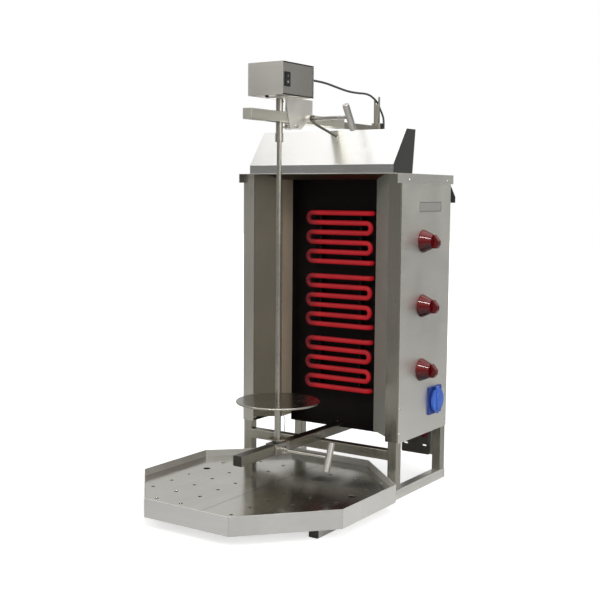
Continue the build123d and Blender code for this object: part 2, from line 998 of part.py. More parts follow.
with BuildPart() as cable_glands:
    with BuildSketch(side(gland_x)):
        outline(
            (gland_y, gland_z + gland_bore / 2),
            (gland_y, gland_z + gland_neck / 2),
            (gland_y + gland_reach / 2, gland_z + gland / 2),
            (terminal_front, gland_z + gland / 2),
            (terminal_front, gland_z + gland_neck / 2),
            (terminal_front + sheet, gland_z + gland_neck / 2),
            (terminal_front + sheet, gland_z + gland / 2),
            (terminal_front + sheet + gland_flange, gland_z + gland / 2),
            (terminal_front + sheet + gland_flange, gland_z + gland_bore / 2),
        )
    revolve(axis=axis_rear(gland_x, gland_z))
    with BuildSketch(side(cable_x)):
        outline(
            (stand_depth - grommet_lip, cable_exit_z + cable / 2 + bore_fit),
            (stand_depth - grommet_lip, cable_exit_z + grommet / 2),
            (stand_depth, cable_exit_z + grommet / 2),
            (stand_depth, cable_exit_z + grommet_neck / 2 - bore_fit),
            (back_outer, cable_exit_z + grommet_neck / 2 - bore_fit),
            (back_outer, cable_exit_z + grommet / 2),
            (back_outer + grommet_lip, cable_exit_z + grommet / 2),
            (back_outer + grommet_lip, cable_exit_z + cable / 2 + bore_fit),
        )
    revolve(axis=axis_rear(cable_x, cable_exit_z))
cable_glands.part.label = "cable_glands"
export_step(cable_glands.part, "parts/cable_glands.step")

# Lower arm, from the front past the cabinet to the foot of the column
lower_arm = arm(lower_arm_reach, column_rear, arm_middle)
lower_arm.part.label = "lower_arm"
export_step(lower_arm.part, "parts/lower_arm.step")

# Upper arm, slotted for the drive tube
with BuildPart() as upper_arm:
    add(arm(upper_arm_reach, upper_arm_tail, upper_arm_middle).part)
    with BuildSketch(level(upper_arm_height, 0, slot_centre)):
        SlotOverall(slot_length, slot_width, rotation=90)
    extrude(amount=tube, mode=Mode.SUBTRACT)
upper_arm.part.label = "upper_arm"
export_step(upper_arm.part, "parts/upper_arm.step")

# Column behind the cabinet, closed at its top, with spacers to the back panel, the stub that the upper arm
# slides on, and the notched angle that guides the motor cable
stub_foot = upper_arm_height + arm_wall

with BuildPart() as arm_column:
    with BuildSketch(level(arm_top, 0, column_y)):
        RectangleRounded(tube, tube, tube_corner)
    extrude(amount=column_top - arm_top)
    with BuildSketch(level(arm_top, 0, column_y)):
        Rectangle(tube - 2 * tube_wall, tube - 2 * tube_wall)
    extrude(amount=column_top - arm_top - arm_wall, mode=Mode.SUBTRACT)
    for height in spacer_heights:
        with BuildSketch(face(back_outer, 0, height)):
            Rectangle(stub_width, spacer_height)
        extrude(amount=-(column_front - back_outer))
    with BuildSketch(face(stub_front, 0, stub_foot + stub_height / 2)):
        Rectangle(stub_width, stub_height)
    extrude(amount=-(column_front - stub_front))
    with BuildSketch(level(column_top, 0, column_front + post_front)):
        outline(
            (-post_half, 0),
            (post_half, 0),
            (post_half, post_side),
            (post_half - post_plate, post_side),
            (post_half - post_plate, post_plate),
            (-post_half, post_plate),
        )
    extrude(amount=post_side_height)
    with BuildSketch(face(column_front, 0, column_top)):
        with Locations((-post_half, post_side_height)):
            Rectangle(2 * post_half - 2 * post_plate, 2 * (post_side_height - post_height))
        with Locations((notch_left, post_side_height)):
            Rectangle(
                post_half - notch_left,
                post_side_height - post_height + notch_depth,
                align=(Align.MIN, Align.MAX),
            )
    extrude(amount=-post_front - post_plate, mode=Mode.SUBTRACT)
arm_column.part.label = "arm_column"
export_step(arm_column.part, "parts/arm_column.step")

# Drive tube of the spit: socket for the rod below, solid top, output shaft above, and a set pin
with BuildPart() as drive_coupling:
    round_bar(level(drive_bottom, 0, spit_y), drive_tube, drive_length)
    round_hole(level(drive_bore_top, 0, spit_y), drive_bore, drive_bore_top - drive_bottom)
    round_bar(level(drive_top, 0, spit_y), drive_nut, bracket_top_thick)
    round_bar(level(drive_top, 0, spit_y), drive_shaft, drive_shaft_top - drive_top)
    pin_root = drive_tube / 4
    round_bar(side(pin_root, spit_y, drive_top - set_pin_inset), set_pin, set_pin_reach - pin_root)
drive_coupling.part.label = "drive_coupling"
export_step(drive_coupling.part, "parts/drive_coupling.step")

# Sliding collar over the drive tube's lower end
with BuildPart() as coupling_collar:
    with BuildSketch(level(drive_bottom - coupling_overhang, 0, spit_y)):
        Circle(coupling / 2)
        Circle(drive_tube / 2 + bore_fit, mode=Mode.SUBTRACT)
    extrude(amount=coupling_length)
    rims = coupling_collar.edges().filter_by(GeomType.CIRCLE).sort_by(SortBy.RADIUS)[-2:]
    chamfer(rims, length=coupling_edge)
coupling_collar.part.label = "coupling_collar"
export_step(coupling_collar.part, "parts/coupling_collar.step")

# Spit rod with its foot pivot and a cross hole for the spring clip
carriage_top = arm_middle + carriage_size / 2
pivot_bottom = carriage_top + fit
spit_rod_top = drive_bore_top - spit_rod_gap
guard_bottom = carriage_top + cup_height + guard_gap

with BuildPart() as spit_rod:
    with BuildSketch(face(spit_y)):
        outline(
            (0, pivot_bottom),
            (pivot / 2 - pivot_edge, pivot_bottom),
            (pivot / 2, pivot_bottom + pivot_edge),
            (pivot / 2, guard_bottom),
            (spit_rod_size / 2, guard_bottom),
            (spit_rod_size / 2, spit_rod_top - spit_rod_tip),
            (spit_rod_size / 2 - spit_rod_tip, spit_rod_top),
            (0, spit_rod_top),
        )
    revolve(axis=axis_up(0, spit_y))
    round_hole(side(spit_rod_size, spit_y, clip_height), clip_wire + 4 * bore_fit, 2 * spit_rod_size)
spit_rod.part.label = "spit_rod"
export_step(spit_rod.part, "parts/spit_rod.step")

# Sleeve under the meat plate, with a guard disc over the bearing
rod_bore = spit_rod_size + 2 * bore_fit

with BuildPart() as plate_sleeve:
    round_bar(level(guard_bottom, 0, spit_y), guard, guard_thick, rod_bore)
    round_bar(level(guard_bottom, 0, spit_y), sleeve, plate_height - guard_bottom, rod_bore)
    round_hole(side(sleeve, spit_y, clip_height), clip_wire + 4 * bore_fit, 2 * sleeve)
plate_sleeve.part.label = "plate_sleeve"
export_step(plate_sleeve.part, "parts/plate_sleeve.step")

# Round meat plate
with BuildPart() as spit_plate:
    round_bar(level(plate_height, 0, spit_y), plate, plate_thick, rod_bore)
    fillet(spit_plate.edges().filter_by(GeomType.CIRCLE).sort_by(SortBy.RADIUS)[-2:], radius=plate_edge)
spit_plate.part.label = "spit_plate"
export_step(spit_plate.part, "parts/spit_plate.step")

# Spring clip: a straight leg through the sleeve and rod, and a bent leg that hangs beside them
with BuildPart() as r_clip:
    with BuildLine() as clip_route:
        FilletPolyline(
            point(-clip_half, spit_y, clip_height),
            point(clip_half, spit_y, clip_height),
            point(clip_half + clip_shoulder, spit_y, clip_height - clip_shoulder_drop),
            point(clip_half + clip_tip, spit_y, clip_height - clip_tip_drop),
            radius=clip_bend,
        )
    with BuildSketch(Plane(origin=clip_route.line @ 0, z_dir=clip_route.line % 0)):
        Circle(clip_wire / 2)
    sweep(path=clip_route.line)
r_clip.part.label = "r_clip"
export_step(r_clip.part, "parts/r_clip.step")

# Bracket that straddles the upper arm: a wide and a narrow cheek, top plate, saddle and clamp screw's boss, welded
cheek_inner = tube / 2 + bracket_clear
cheek_outer = cheek_inner + bracket_sheet
arm_clear = upper_arm_height + tube + bracket_clear
cheek_foot = upper_arm_height - cheek_foot_drop
cheek_knee = upper_arm_height + cheek_knee_rise
cheeks = ((cheek_inner, cheek_front, cheek_foot_front), (-cheek_outer, left_cheek_front, left_cheek_foot_front))
boss_end = cheek_outer + clamp_boss_reach

with BuildPart() as motor_bracket:
    for left, front, foot_front in cheeks:
        with BuildSketch(side(left)) as cheek:
            outline(
                (front, bracket_top),
                (foot_front, cheek_foot),
                (cheek_foot_rear, cheek_foot),
                (bracket_rear, cheek_knee),
                (bracket_rear, bracket_top),
            )
            fillet(cheek.vertices().sort_by(Axis.Y)[:2], radius=cheek_corner)
        extrude(amount=bracket_sheet)
    with BuildSketch(level(bracket_top)):
        outline(
            (-bracket_left, bracket_front),
            (cheek_outer, bracket_front),
            (cheek_outer, bracket_rear),
            (-bracket_left, bracket_rear),
        )
        with Locations((0, spit_y)):
            Circle(drive_hole / 2, mode=Mode.SUBTRACT)
    extrude(amount=bracket_top_thick)
    with BuildSketch(side(-cheek_inner)):
        outline(
            (saddle_front, arm_clear),
            (saddle_rear, arm_clear),
            (saddle_rear, arm_clear + saddle_thick),
            (saddle_front, arm_clear + saddle_thick),
        )
    extrude(amount=2 * cheek_inner)
    round_bar(side(cheek_outer, clamp_y, clamp_z), clamp_boss, clamp_boss_reach)
    round_hole(side(boss_end, clamp_y, clamp_z), clamp_screw + 2 * bore_fit, boss_end - cheek_inner)
    round_hole(side(cheek_outer, bolt_y, bolt_z), bolt + 2 * bore_fit, 2 * cheek_outer)
motor_bracket.part.label = "motor_bracket"
export_step(motor_bracket.part, "parts/motor_bracket.step")

# Cross bolt under the arm, with a spacer tube between the cheeks
with BuildPart() as bracket_bolt:
    round_bar(side(-cheek_outer - bolt_overhang, bolt_y, bolt_z), bolt, 2 * cheek_outer + bolt_overhang)
    round_bar(side(-cheek_inner, bolt_y, bolt_z), bolt_spacer, 2 * cheek_inner)
    with BuildSketch(side(cheek_outer, bolt_y, bolt_z)):
        RegularPolygon(bolt_head / 2, 6)
    extrude(amount=bolt_head_thick)
    with BuildSketch(side(-cheek_outer, bolt_y, bolt_z)):
        RegularPolygon(bolt_head / 2, 6)
    extrude(amount=-bolt_head_thick)
bracket_bolt.part.label = "bracket_bolt"
export_step(bracket_bolt.part, "parts/bracket_bolt.step")

# Upper clamp screw with its T-handle
with BuildPart() as upper_clamp:
    bar_x = clamp_reach + clamp_bar / 2 - clamp_bar_bite
    tilt = math.radians(clamp_bar_tilt)
    along = Vector(0, -math.sin(tilt), math.cos(tilt))
    round_bar(side(cheek_inner, clamp_y, clamp_z), clamp_screw, bar_x - cheek_inner)
    bar_foot = Vector(*point(bar_x, clamp_y, clamp_z)) - along * (clamp_bar_length / 2)
    round_bar(Plane(origin=bar_foot, z_dir=along), clamp_bar, clamp_bar_length)
    bar_ends = upper_clamp.faces().filter_by(GeomType.PLANE).filter_by(lambda f: abs(f.normal_at().X) < 0.5)
    fillet(bar_ends.edges(), radius=clamp_bar_edge)
upper_clamp.part.label = "upper_clamp"
export_step(upper_clamp.part, "parts/upper_clamp.step")

# Lock nut on the same screw, with a bent lever
nut_x = boss_end + fit
lever_start = nut_x + lock_nut_thick / 2

with BuildPart() as clamp_lever:
    round_bar(side(nut_x, clamp_y, clamp_z), lock_nut, lock_nut_thick)
    with BuildLine() as lever_route:
        FilletPolyline(
            point(lever_start, clamp_y - lever_root, clamp_z - lever_root),
            point(lever_knee[0], clamp_y + lever_knee[1], clamp_z + lever_knee[2]),
            point(lever_tip[0], clamp_y + lever_tip[1], clamp_z + lever_tip[2]),
            radius=lever_bend,
        )
    with BuildSketch(Plane(origin=lever_route.line @ 0, z_dir=lever_route.line % 0)):
        Circle(lever / 2)
    sweep(path=lever_route.line)
    round_hole(side(nut_x + lock_nut_thick, clamp_y, clamp_z), clamp_screw + 2 * bore_fit, lock_nut_thick)
clamp_lever.part.label = "clamp_lever"
export_step(clamp_lever.part, "parts/clamp_lever.step")

# Motor box: bottom, rear and top folded from one sheet, open to the front and the sides
motor_top = motor_bottom + motor_height
motor_half = motor_width / 2
motor_shell_front = motor_front + sheet

with BuildPart() as motor_box:
    with BuildSketch(side(-motor_half)):
        outline(
            (motor_shell_front, motor_bottom),
            (motor_rear, motor_bottom),
            (motor_rear, motor_top),
            (motor_shell_front, motor_top),
            (motor_shell_front, motor_top - sheet),
            (motor_rear - sheet, motor_top - sheet),
            (motor_rear - sheet, motor_bottom + sheet),
            (motor_shell_front, motor_bottom + sheet),
        )
    extrude(amount=motor_width)
    round_hole(level(motor_bottom + sheet, 0, spit_y), drive_hole, sheet)
    with BuildSketch(face(motor_rear)):
        with Locations((motor_gland_x, motor_gland_z)):
            Circle(motor_gland_neck / 2 + bore_fit)
    extrude(amount=sheet, mode=Mode.SUBTRACT)
motor_box.part.label = "motor_box"
export_step(motor_box.part, "parts/motor_box.step")

# Motor box cover: the front and both sides, set in a little from the box's edges
cover_side = motor_half - cover_inset
cover_foot = motor_bottom + sheet + cover_gap
cover_head = motor_top - sheet - cover_gap

with BuildPart() as motor_cover:
    with BuildSketch(face(motor_front)):
        with Locations((0, (motor_bottom + motor_top) / 2)):
            Rectangle(motor_width, motor_height)
    extrude(amount=-sheet)
    for left in (-cover_side, cover_side - sheet):
        with BuildSketch(side(left)):
            outline(
                (motor_shell_front, cover_foot),
                (motor_rear - sheet - cover_gap, cover_foot),
                (motor_rear - sheet - cover_gap, cover_head),
                (motor_shell_front, cover_head),
            )
        extrude(amount=sheet)
    with BuildSketch(side(cover_side)):
        with Locations((switch_y, switch_z)):
            Rectangle(switch_body_width + 2 * bore_fit, switch_body_height + 2 * bore_fit)
    extrude(amount=-sheet, mode=Mode.SUBTRACT)
motor_cover.part.label = "motor_cover"
export_step(motor_cover.part, "parts/motor_cover.step")

# Gearbox with the motor on it, bored for the spit's output shaft
gearbox_bottom = motor_bottom + sheet
gearbox_top = gearbox_bottom + gearbox_height

with BuildPart() as gearmotor:
    with BuildSketch(level(gearbox_bottom)):
        with Locations((0, (gearbox_front + gearbox_rear) / 2)):
            RectangleRounded(2 * gearbox_half, gearbox_rear - gearbox_front, gearbox_corner)
    extrude(amount=gearbox_height)
    round_bar(level(gearbox_top, 0, motor_can_y), motor_can, motor_can_height)
    round_hole(level(drive_shaft_top + fit, 0, spit_y), drive_shaft + 2 * bore_fit, drive_shaft_top)
gearmotor.part.label = "gearmotor"
export_step(gearmotor.part, "parts/gearmotor.step")

# Cable gland in the motor box's rear wall
with BuildPart() as motor_gland_part:
    with BuildSketch(side(motor_gland_x)):
        outline(
            (motor_rear - sheet - motor_gland_nut, motor_gland_z),
            (motor_rear - sheet - motor_gland_nut, motor_gland_z + motor_gland / 2),
            (motor_rear - sheet, motor_gland_z + motor_gland / 2),
            (motor_rear - sheet, motor_gland_z + motor_gland_neck / 2),
            (motor_rear, motor_gland_z + motor_gland_neck / 2),
            (motor_rear, motor_gland_z + motor_gland / 2),
            (motor_rear + motor_gland_nut, motor_gland_z + motor_gland / 2),
            (motor_rear + motor_gland_reach, motor_gland_z + motor_gland / 2 - motor_gland_taper),
            (motor_rear + motor_gland_reach, motor_gland_z),
        )
    revolve(axis=axis_rear(motor_gland_x, motor_gland_z))
motor_gland_part.part.label = "motor_gland"
export_step(motor_gland_part.part, "parts/motor_gland.step")

# Switch body with its bezel, hollow in front for the rocker
rocker_x = cover_side - rocker_pivot
pocket_floor = rocker_x - switch_pocket
bezel_x = cover_side + switch_bezel
pin_reach = rocker_width / 2 + rocker_pin_bite

with BuildPart() as switch_body:
    with BuildSketch(side(cover_side, switch_y, switch_z)):
        RectangleRounded(switch_width, switch_height, switch_corner)
    extrude(amount=switch_bezel)
    with BuildSketch(side(cover_side, switch_y, switch_z)):
        Rectangle(switch_body_width, switch_body_height)
    extrude(amount=-switch_depth)
    with BuildSketch(side(bezel_x, switch_y, switch_z)):
        Rectangle(rocker_width + 2 * rocker_fit, rocker_room)
    extrude(amount=-(bezel_x - pocket_floor), mode=Mode.SUBTRACT)
    pin_room = pin_reach + rocker_pin_gap
    round_hole(face(switch_y - pin_room, rocker_x, switch_z), rocker_pin + 2 * bore_fit, 2 * pin_room)
switch_body.part.label = "switch_body"
export_step(switch_body.part, "parts/switch_body.step")

# Rocker on two pivot pins, with a shallow V on its face
with BuildPart() as switch_rocker:
    with BuildSketch(face(switch_y - rocker_width / 2)):
        outline(
            (rocker_x - rocker_heel, switch_z),
            (rocker_x, switch_z - rocker_height / 2),
            (bezel_x + rocker_crest, switch_z - rocker_height / 2),
            (bezel_x + rocker_valley, switch_z),
            (bezel_x + rocker_crest, switch_z + rocker_height / 2),
            (rocker_x, switch_z + rocker_height / 2),
        )
    extrude(amount=-rocker_width)
    round_bar(face(switch_y + pin_reach, rocker_x, switch_z), rocker_pin, 2 * pin_reach)
switch_rocker.part.label = "switch_rocker"
export_step(switch_rocker.part, "parts/switch_rocker.step")

# Lower carriage: a sleeve around the lower arm, with the boss of its clamp screw
sleeve_bore = tube + 2 * fit
lower_boss_end = carriage_size / 2 + lower_boss_reach

with BuildPart() as lower_carriage:
    with BuildSketch(face(carriage_front, 0, arm_middle)):
        RectangleRounded(carriage_size, carriage_size, tube_corner)
        Rectangle(sleeve_bore, sleeve_bore, mode=Mode.SUBTRACT)
    extrude(amount=-(carriage_rear - carriage_front))
    with BuildSketch(side(carriage_size / 2, lower_clamp_y, lower_clamp_z)):
        RegularPolygon(lower_boss / 2, 16)
    extrude(amount=lower_boss_reach)
    round_hole(
        side(lower_boss_end, lower_clamp_y, lower_clamp_z),
        clamp_screw + 2 * bore_fit,
        lower_boss_end - sleeve_bore / 2,
    )
lower_carriage.part.label = "lower_carriage"
export_step(lower_carriage.part, "parts/lower_carriage.step")

# Bearing cup for the spit's foot
with BuildPart() as bearing_cup:
    round_bar(level(carriage_top, 0, spit_y), cup, cup_height, pivot + 2 * bore_fit)
bearing_cup.part.label = "bearing_cup"
export_step(bearing_cup.part, "parts/bearing_cup.step")

# Lower clamp screw with its tubular T-handle
with BuildPart() as lower_clamp:
    lean = math.radians(lower_bar_tilt)
    along = Vector(0, -math.sin(lean), math.cos(lean))
    bar_x = lower_clamp_reach + lower_bar / 2 - lower_bar_bite
    bar_foot = Vector(*point(bar_x, lower_clamp_y, lower_clamp_z)) - along * (lower_bar_length / 2)
    bar_plane = Plane(origin=bar_foot, z_dir=along)
    round_bar(bar_plane, lower_bar, lower_bar_length, lower_bar_bore)
    screw_x = tube / 2 + fit
    round_bar(side(screw_x, lower_clamp_y, lower_clamp_z), clamp_screw, lower_clamp_reach - screw_x)
lower_clamp.part.label = "lower_clamp"
export_step(lower_clamp.part, "parts/lower_clamp.step")


def octagon():
    """The corners of the pan's outline."""
    left = -pan_shift - pan_width / 2
    right = -pan_shift + pan_width / 2
    return (
        (left, pan_rear - pan_rear_step),
        (left, -pan_front + pan_front_step),
        (left + pan_side_step, -pan_front),
        (right - pan_side_step, -pan_front),
        (right, -pan_front + pan_front_step),
        (right, pan_rear - pan_rear_step),
        (right - pan_side_step, pan_rear),
        (left + pan_side_step, pan_rear),
    )


# Drip pan with an inner ledge all round for the grids
ledge_top = tube + ledge_height

with BuildPart() as drip_pan:
    with BuildSketch(level(tube)):
        outline(*octagon())
    extrude(amount=pan_height)
    offset(amount=-pan_sheet, openings=drip_pan.faces().sort_by(Axis.Z)[-1])
    with BuildSketch(level(ledge_top - pan_sheet)) as ledge:
        outline(*octagon())
        offset(amount=-pan_sheet, kind=Kind.INTERSECTION, mode=Mode.REPLACE)
        offset(amount=-ledge_width, kind=Kind.INTERSECTION, mode=Mode.SUBTRACT)
    extrude(amount=pan_sheet)
drip_pan.part.label = "drip_pan"
export_step(drip_pan.part, "parts/drip_pan.step")


def grid(way):
    """One half of the perforated sheet in the pan. way is 1 for the right half, -1 for the left."""
    with BuildPart() as made:
        with BuildSketch(level(ledge_top)):
            outline(*octagon())
            offset(amount=-pan_sheet - grid_fit, kind=Kind.INTERSECTION, mode=Mode.REPLACE)
            with Locations((-way * (2 * pan_width - grid_split) / 2, 0)):
                Rectangle(2 * pan_width, 4 * pan_front, mode=Mode.SUBTRACT)
            for column, rows in drain_rows.items():
                x = way * column * drain_spacing
                for row in range(rows):
                    y = drain_centre + (row - (rows - 1) / 2) * drain_pitch
                    finger = column == finger_column and row == finger_row
                    with Locations((x, y)):
                        Circle((finger_hole if finger else drain_hole) / 2, mode=Mode.SUBTRACT)
        extrude(amount=grid_sheet)
    return made


grid_left = grid(-1)
grid_left.part.label = "grid_left"
export_step(grid_left.part, "parts/grid_left.step")

grid_right = grid(1)
grid_right.part.label = "grid_right"
export_step(grid_right.part, "parts/grid_right.step")

# Motor cable: from the motor's gland over the guide's notch, down beside the column and into the back panel
cable_route = (
    point(motor_gland_x, motor_rear + motor_gland_reach, motor_gland_z),
    point(motor_gland_x, -60, motor_gland_z),
    point(24.2, -10, motor_gland_z - 1),
    point(22, 45, motor_gland_z - 6.5),
    point(19, 103, motor_gland_z - 11.5),
    point(15, 158, motor_gland_z - 11),
    point(10.5, 205, motor_gland_z - 8),
    point(6, 239, motor_gland_z - 9.5),
    point(2.8, 263, motor_gland_z - 14.7),
    point(1.3, 282, motor_gland_z - 21),
    point(0.6, 295, motor_gland_z - 30),
    point(2.6, 301.4, motor_gland_z - 42),
    point(8.6, 303, motor_gland_z - 55),
    point(14.2, 301.6, motor_gland_z - 68.5),
    point(16.2, 299.2, motor_gland_z - 90),
    point(15.7, 297, motor_gland_z - 126),
    point(15.9, 297.6, cable_exit_z + 165),
    point(15.7, 296.4, cable_exit_z + 110),
    point(15.8, 297, cable_exit_z + 62),
    point(cable_x, 296.4, cable_exit_z + 37),
    point(cable_x, 296.2, cable_exit_z + 16.4),
    point(cable_x, 290.4, cable_exit_z + 6),
    point(cable_x, 280, cable_exit_z),
    point(cable_x, stand_depth - grommet_lip, cable_exit_z),
)


def bend_radii(route):
    """The radius at each corner: a share of the shorter run over the tangent of half the turn."""
    points = [Vector(*p) for p in route]
    radii = []
    for before, corner, after in zip(points, points[1:], points[2:]):
        run_in = corner - before
        run_out = after - corner
        turn = math.radians(run_in.get_angle(run_out))
        radii.append(corner_share * min(run_in.length, run_out.length) / math.tan(turn / 2))
    return radii


cable_radii = bend_radii(cable_route)
print("motor cable radii, mm:", [round(r, 1) for r in cable_radii])

with BuildPart() as motor_cable:
    with BuildLine() as cable_path:
        FilletPolyline(*cable_route, radius=cable_radii)
    with BuildSketch(Plane(origin=cable_path.line @ 0, z_dir=cable_path.line % 0)):
        Circle(cable / 2)
    sweep(path=cable_path.line)
motor_cable.part.label = "motor_cable"
export_step(motor_cable.part, "parts/motor_cable.step")
cable_length = cable_path.wires()[0].length
cable_volume = math.pi * cable**2 / 4 * cable_length
print("motor cable length, mm:", round(cable_length, 1))
print("motor cable volume over section times length:", round(motor_cable.part.volume / cable_volume, 4))
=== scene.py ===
import math

import bmesh
import bpy
from mathutils import Matrix, Vector


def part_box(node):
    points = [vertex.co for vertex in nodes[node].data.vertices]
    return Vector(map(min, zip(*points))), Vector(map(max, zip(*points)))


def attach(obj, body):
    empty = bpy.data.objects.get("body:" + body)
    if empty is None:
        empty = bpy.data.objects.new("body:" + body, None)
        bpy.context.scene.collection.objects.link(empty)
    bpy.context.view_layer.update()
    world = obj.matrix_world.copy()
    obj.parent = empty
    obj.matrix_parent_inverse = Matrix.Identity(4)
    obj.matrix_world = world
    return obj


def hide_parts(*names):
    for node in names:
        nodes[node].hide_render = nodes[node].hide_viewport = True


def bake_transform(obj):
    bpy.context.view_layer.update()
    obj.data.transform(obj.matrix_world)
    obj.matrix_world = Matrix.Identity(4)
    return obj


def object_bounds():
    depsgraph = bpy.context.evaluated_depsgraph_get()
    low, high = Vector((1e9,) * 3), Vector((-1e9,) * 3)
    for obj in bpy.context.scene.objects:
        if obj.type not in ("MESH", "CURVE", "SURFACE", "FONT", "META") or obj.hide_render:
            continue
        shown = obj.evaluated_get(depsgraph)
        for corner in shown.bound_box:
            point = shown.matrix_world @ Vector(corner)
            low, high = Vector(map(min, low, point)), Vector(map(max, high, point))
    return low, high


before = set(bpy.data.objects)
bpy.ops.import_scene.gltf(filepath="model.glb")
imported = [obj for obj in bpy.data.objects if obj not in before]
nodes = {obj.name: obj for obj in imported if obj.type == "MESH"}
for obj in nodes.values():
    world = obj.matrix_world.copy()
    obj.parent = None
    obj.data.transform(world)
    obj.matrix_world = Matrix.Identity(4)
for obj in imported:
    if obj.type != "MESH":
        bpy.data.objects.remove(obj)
cad_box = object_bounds()
collection = bpy.context.scene.collection

# Camera, solved from the photograph, in metres and degrees
camera_place = Vector((1.4516, -2.1239, 0.7530))
camera_yaw = math.radians(33.91)
camera_pitch = math.radians(5.75)
camera_roll = math.radians(0.46)
focal_px = 1043.3
frame_px = 600
sensor_mm = 36


def make_camera():
    """The photograph's camera: level heading, then tipped down, then rolled."""
    level = math.cos(camera_pitch)
    ahead = Vector((-math.sin(camera_yaw) * level, math.cos(camera_yaw) * level, -math.sin(camera_pitch)))
    side = Vector((math.cos(camera_yaw), math.sin(camera_yaw), 0))
    above = side.cross(ahead)
    right = side * math.cos(camera_roll) + above * math.sin(camera_roll)
    up = above * math.cos(camera_roll) - side * math.sin(camera_roll)
    data = bpy.data.cameras.new("camera")
    data.sensor_width = sensor_mm
    data.lens = sensor_mm * focal_px / frame_px
    made = bpy.data.objects.new("camera", data)
    made.matrix_world = Matrix((right, up, -ahead)).transposed().to_4x4()
    made.location = camera_place
    collection.objects.link(made)
    bpy.context.scene.camera = made


make_camera()
bpy.context.scene.view_settings.view_transform = "Standard"


# Node helpers
def node(tree, kind, values=None, **settings):
    """Adds a shader node. A value that is a socket is linked, any other is set on the input."""
    made = tree.nodes.new(kind)
    for key, value in settings.items():
        setattr(made, key, value)
    for key, value in (values or {}).items():
        if isinstance(value, bpy.types.NodeSocket):
            tree.links.new(value, made.inputs[key])
        else:
            made.inputs[key].default_value = value
    return made


def linear(red, green, blue):
    """A colour as seen on a screen, 0 to 255, as a linear one."""
    parts = []
    for value in (red / 255, green / 255, blue / 255):
        parts.append(((value + 0.055) / 1.055) ** 2.4 if value > 0.04045 else value / 12.92)
    return (*parts, 1)


def scaled(tree, scale):
    """The frame's coordinates in metres, times a scale for each axis."""
    place = node(tree, "ShaderNodeTexCoord")
    return node(tree, "ShaderNodeMapping", {"Vector": place.outputs["Object"], "Scale": scale}).outputs["Vector"]


def noise(tree, scale, detail=4, roughness=0.5, distortion=0):
    """Noise whose grain along each axis is the scale, in cycles to the metre."""
    values = {"Vector": scaled(tree, scale), "Scale": 1, "Detail": detail, "Roughness": roughness}
    values["Distortion"] = distortion
    return node(tree, "ShaderNodeTexNoise", values).outputs["Fac"]


def spread(tree, value, low, high, from_low=0.3, from_high=0.7):
    """A value mapped to a range. Most noise lies between the two defaults."""
    values = {"Value": value, "From Min": from_low, "From Max": from_high, "To Min": low, "To Max": high}
    return node(tree, "ShaderNodeMapRange", values).outputs["Result"]


def maths(tree, operation, first, second=0.0):
    """One operation on one or two values."""
    made = node(tree, "ShaderNodeMath", {0: first, 1: second}, operation=operation)
    return made.outputs["Value"]


def dot(tree, first, second):
    """The dot product: 1 where two directions agree, 0 where they are square to each other."""
    return node(tree, "ShaderNodeVectorMath", {0: first, 1: second}, operation="DOT_PRODUCT").outputs["Value"]


def blended(tree, factor, first, second):
    """A mix of two colours: the first at 0, the second at 1."""
    return node(tree, "ShaderNodeMix", {0: factor, 6: first, 7: second}, data_type="RGBA").outputs[2]


def normal(tree):
    """The way in which a surface looks."""
    return node(tree, "ShaderNodeNewGeometry").outputs["Normal"]


def rounded(tree, radius):
    """The normal of a surface whose edges are rounded to a radius."""
    return node(tree, "ShaderNodeBevel", {"Radius": radius}, samples=4).outputs["Normal"]


# How nearly the rounded normal agrees with the true one, on an edge and on the flat
edge_match = (0.82, 0.995)


def edges(tree, radius):
    """1 where a surface turns an edge within the radius, 0 on the flat."""
    return spread(tree, dot(tree, rounded(tree, radius), normal(tree)), 1, 0, *edge_match)


def start(name, **constants):
    """A new material with its shader, and its constant values on the shader's own sockets."""
    made = bpy.data.materials.new(name)
    made.use_nodes = True
    shader = made.node_tree.nodes["Principled BSDF"]
    for key, value in constants.items():
        shader.inputs[key.replace("_", " ")].default_value = value
    return made, made.node_tree, shader


def grained(tree, shader, height, lift, distance=0.0002, radius=0.0006):
    """A fine relief on a surface whose edges are slightly rounded."""
    values = {"Strength": lift, "Distance": distance, "Height": height, "Normal": rounded(tree, radius)}
    tree.links.new(node(tree, "ShaderNodeBump", values).outputs["Normal"], shader.inputs["Normal"])


# Ways in which faces look
rightward, leftward, frontward, upward = (1, 0, 0), (-1, 0, 0), (0, -1, 0), (0, 0, 1)
corner = (0.7071, -0.7071, 0)

# How nearly a face looks a given way, as a dot product: too little to count, and fully
facing = (0.86, 0.97)


def by_way(tree, way, other, this):
    """One value where a face looks any other way, and another where it looks this way."""
    return spread(tree, dot(tree, normal(tree), way), other, this, *facing)


# Along X, in metres: where a face is wholly on the left side of the object, and where that side ends
left_side = (-0.2, -0.1)


def inner_painted_shade(tree, tone):
    """A painted shade: the tone of the faces that look right on the left side of the object, and 1 elsewhere."""
    place = node(tree, "ShaderNodeTexCoord").outputs["Object"]
    left = spread(tree, dot(tree, place, rightward), 1, 0, *left_side)
    inside = maths(tree, "MULTIPLY", left, by_way(tree, rightward, 0, 1))
    return spread(tree, inside, 1, tone, 0, 1)


# The reach of a dark corner line, how nearly level its normal is, and how far the rounded normal turns there
seam_reach = 0.0016
seam_level = (0.1, 0.3)
seam_match = (0.93, 0.99)


def seam_tone(tree, seam):
    """Darker by the seam's share along upright corners, and 1 elsewhere."""
    bent = rounded(tree, seam_reach)
    upright = spread(tree, maths(tree, "ABSOLUTE", dot(tree, bent, upward)), 1, 0, *seam_level)
    turn = spread(tree, dot(tree, bent, normal(tree)), 1, 0, *seam_match)
    line = maths(tree, "MULTIPLY", maths(tree, "MULTIPLY", upright, turn), seam)
    return maths(tree, "SUBTRACT", 1.0, line)
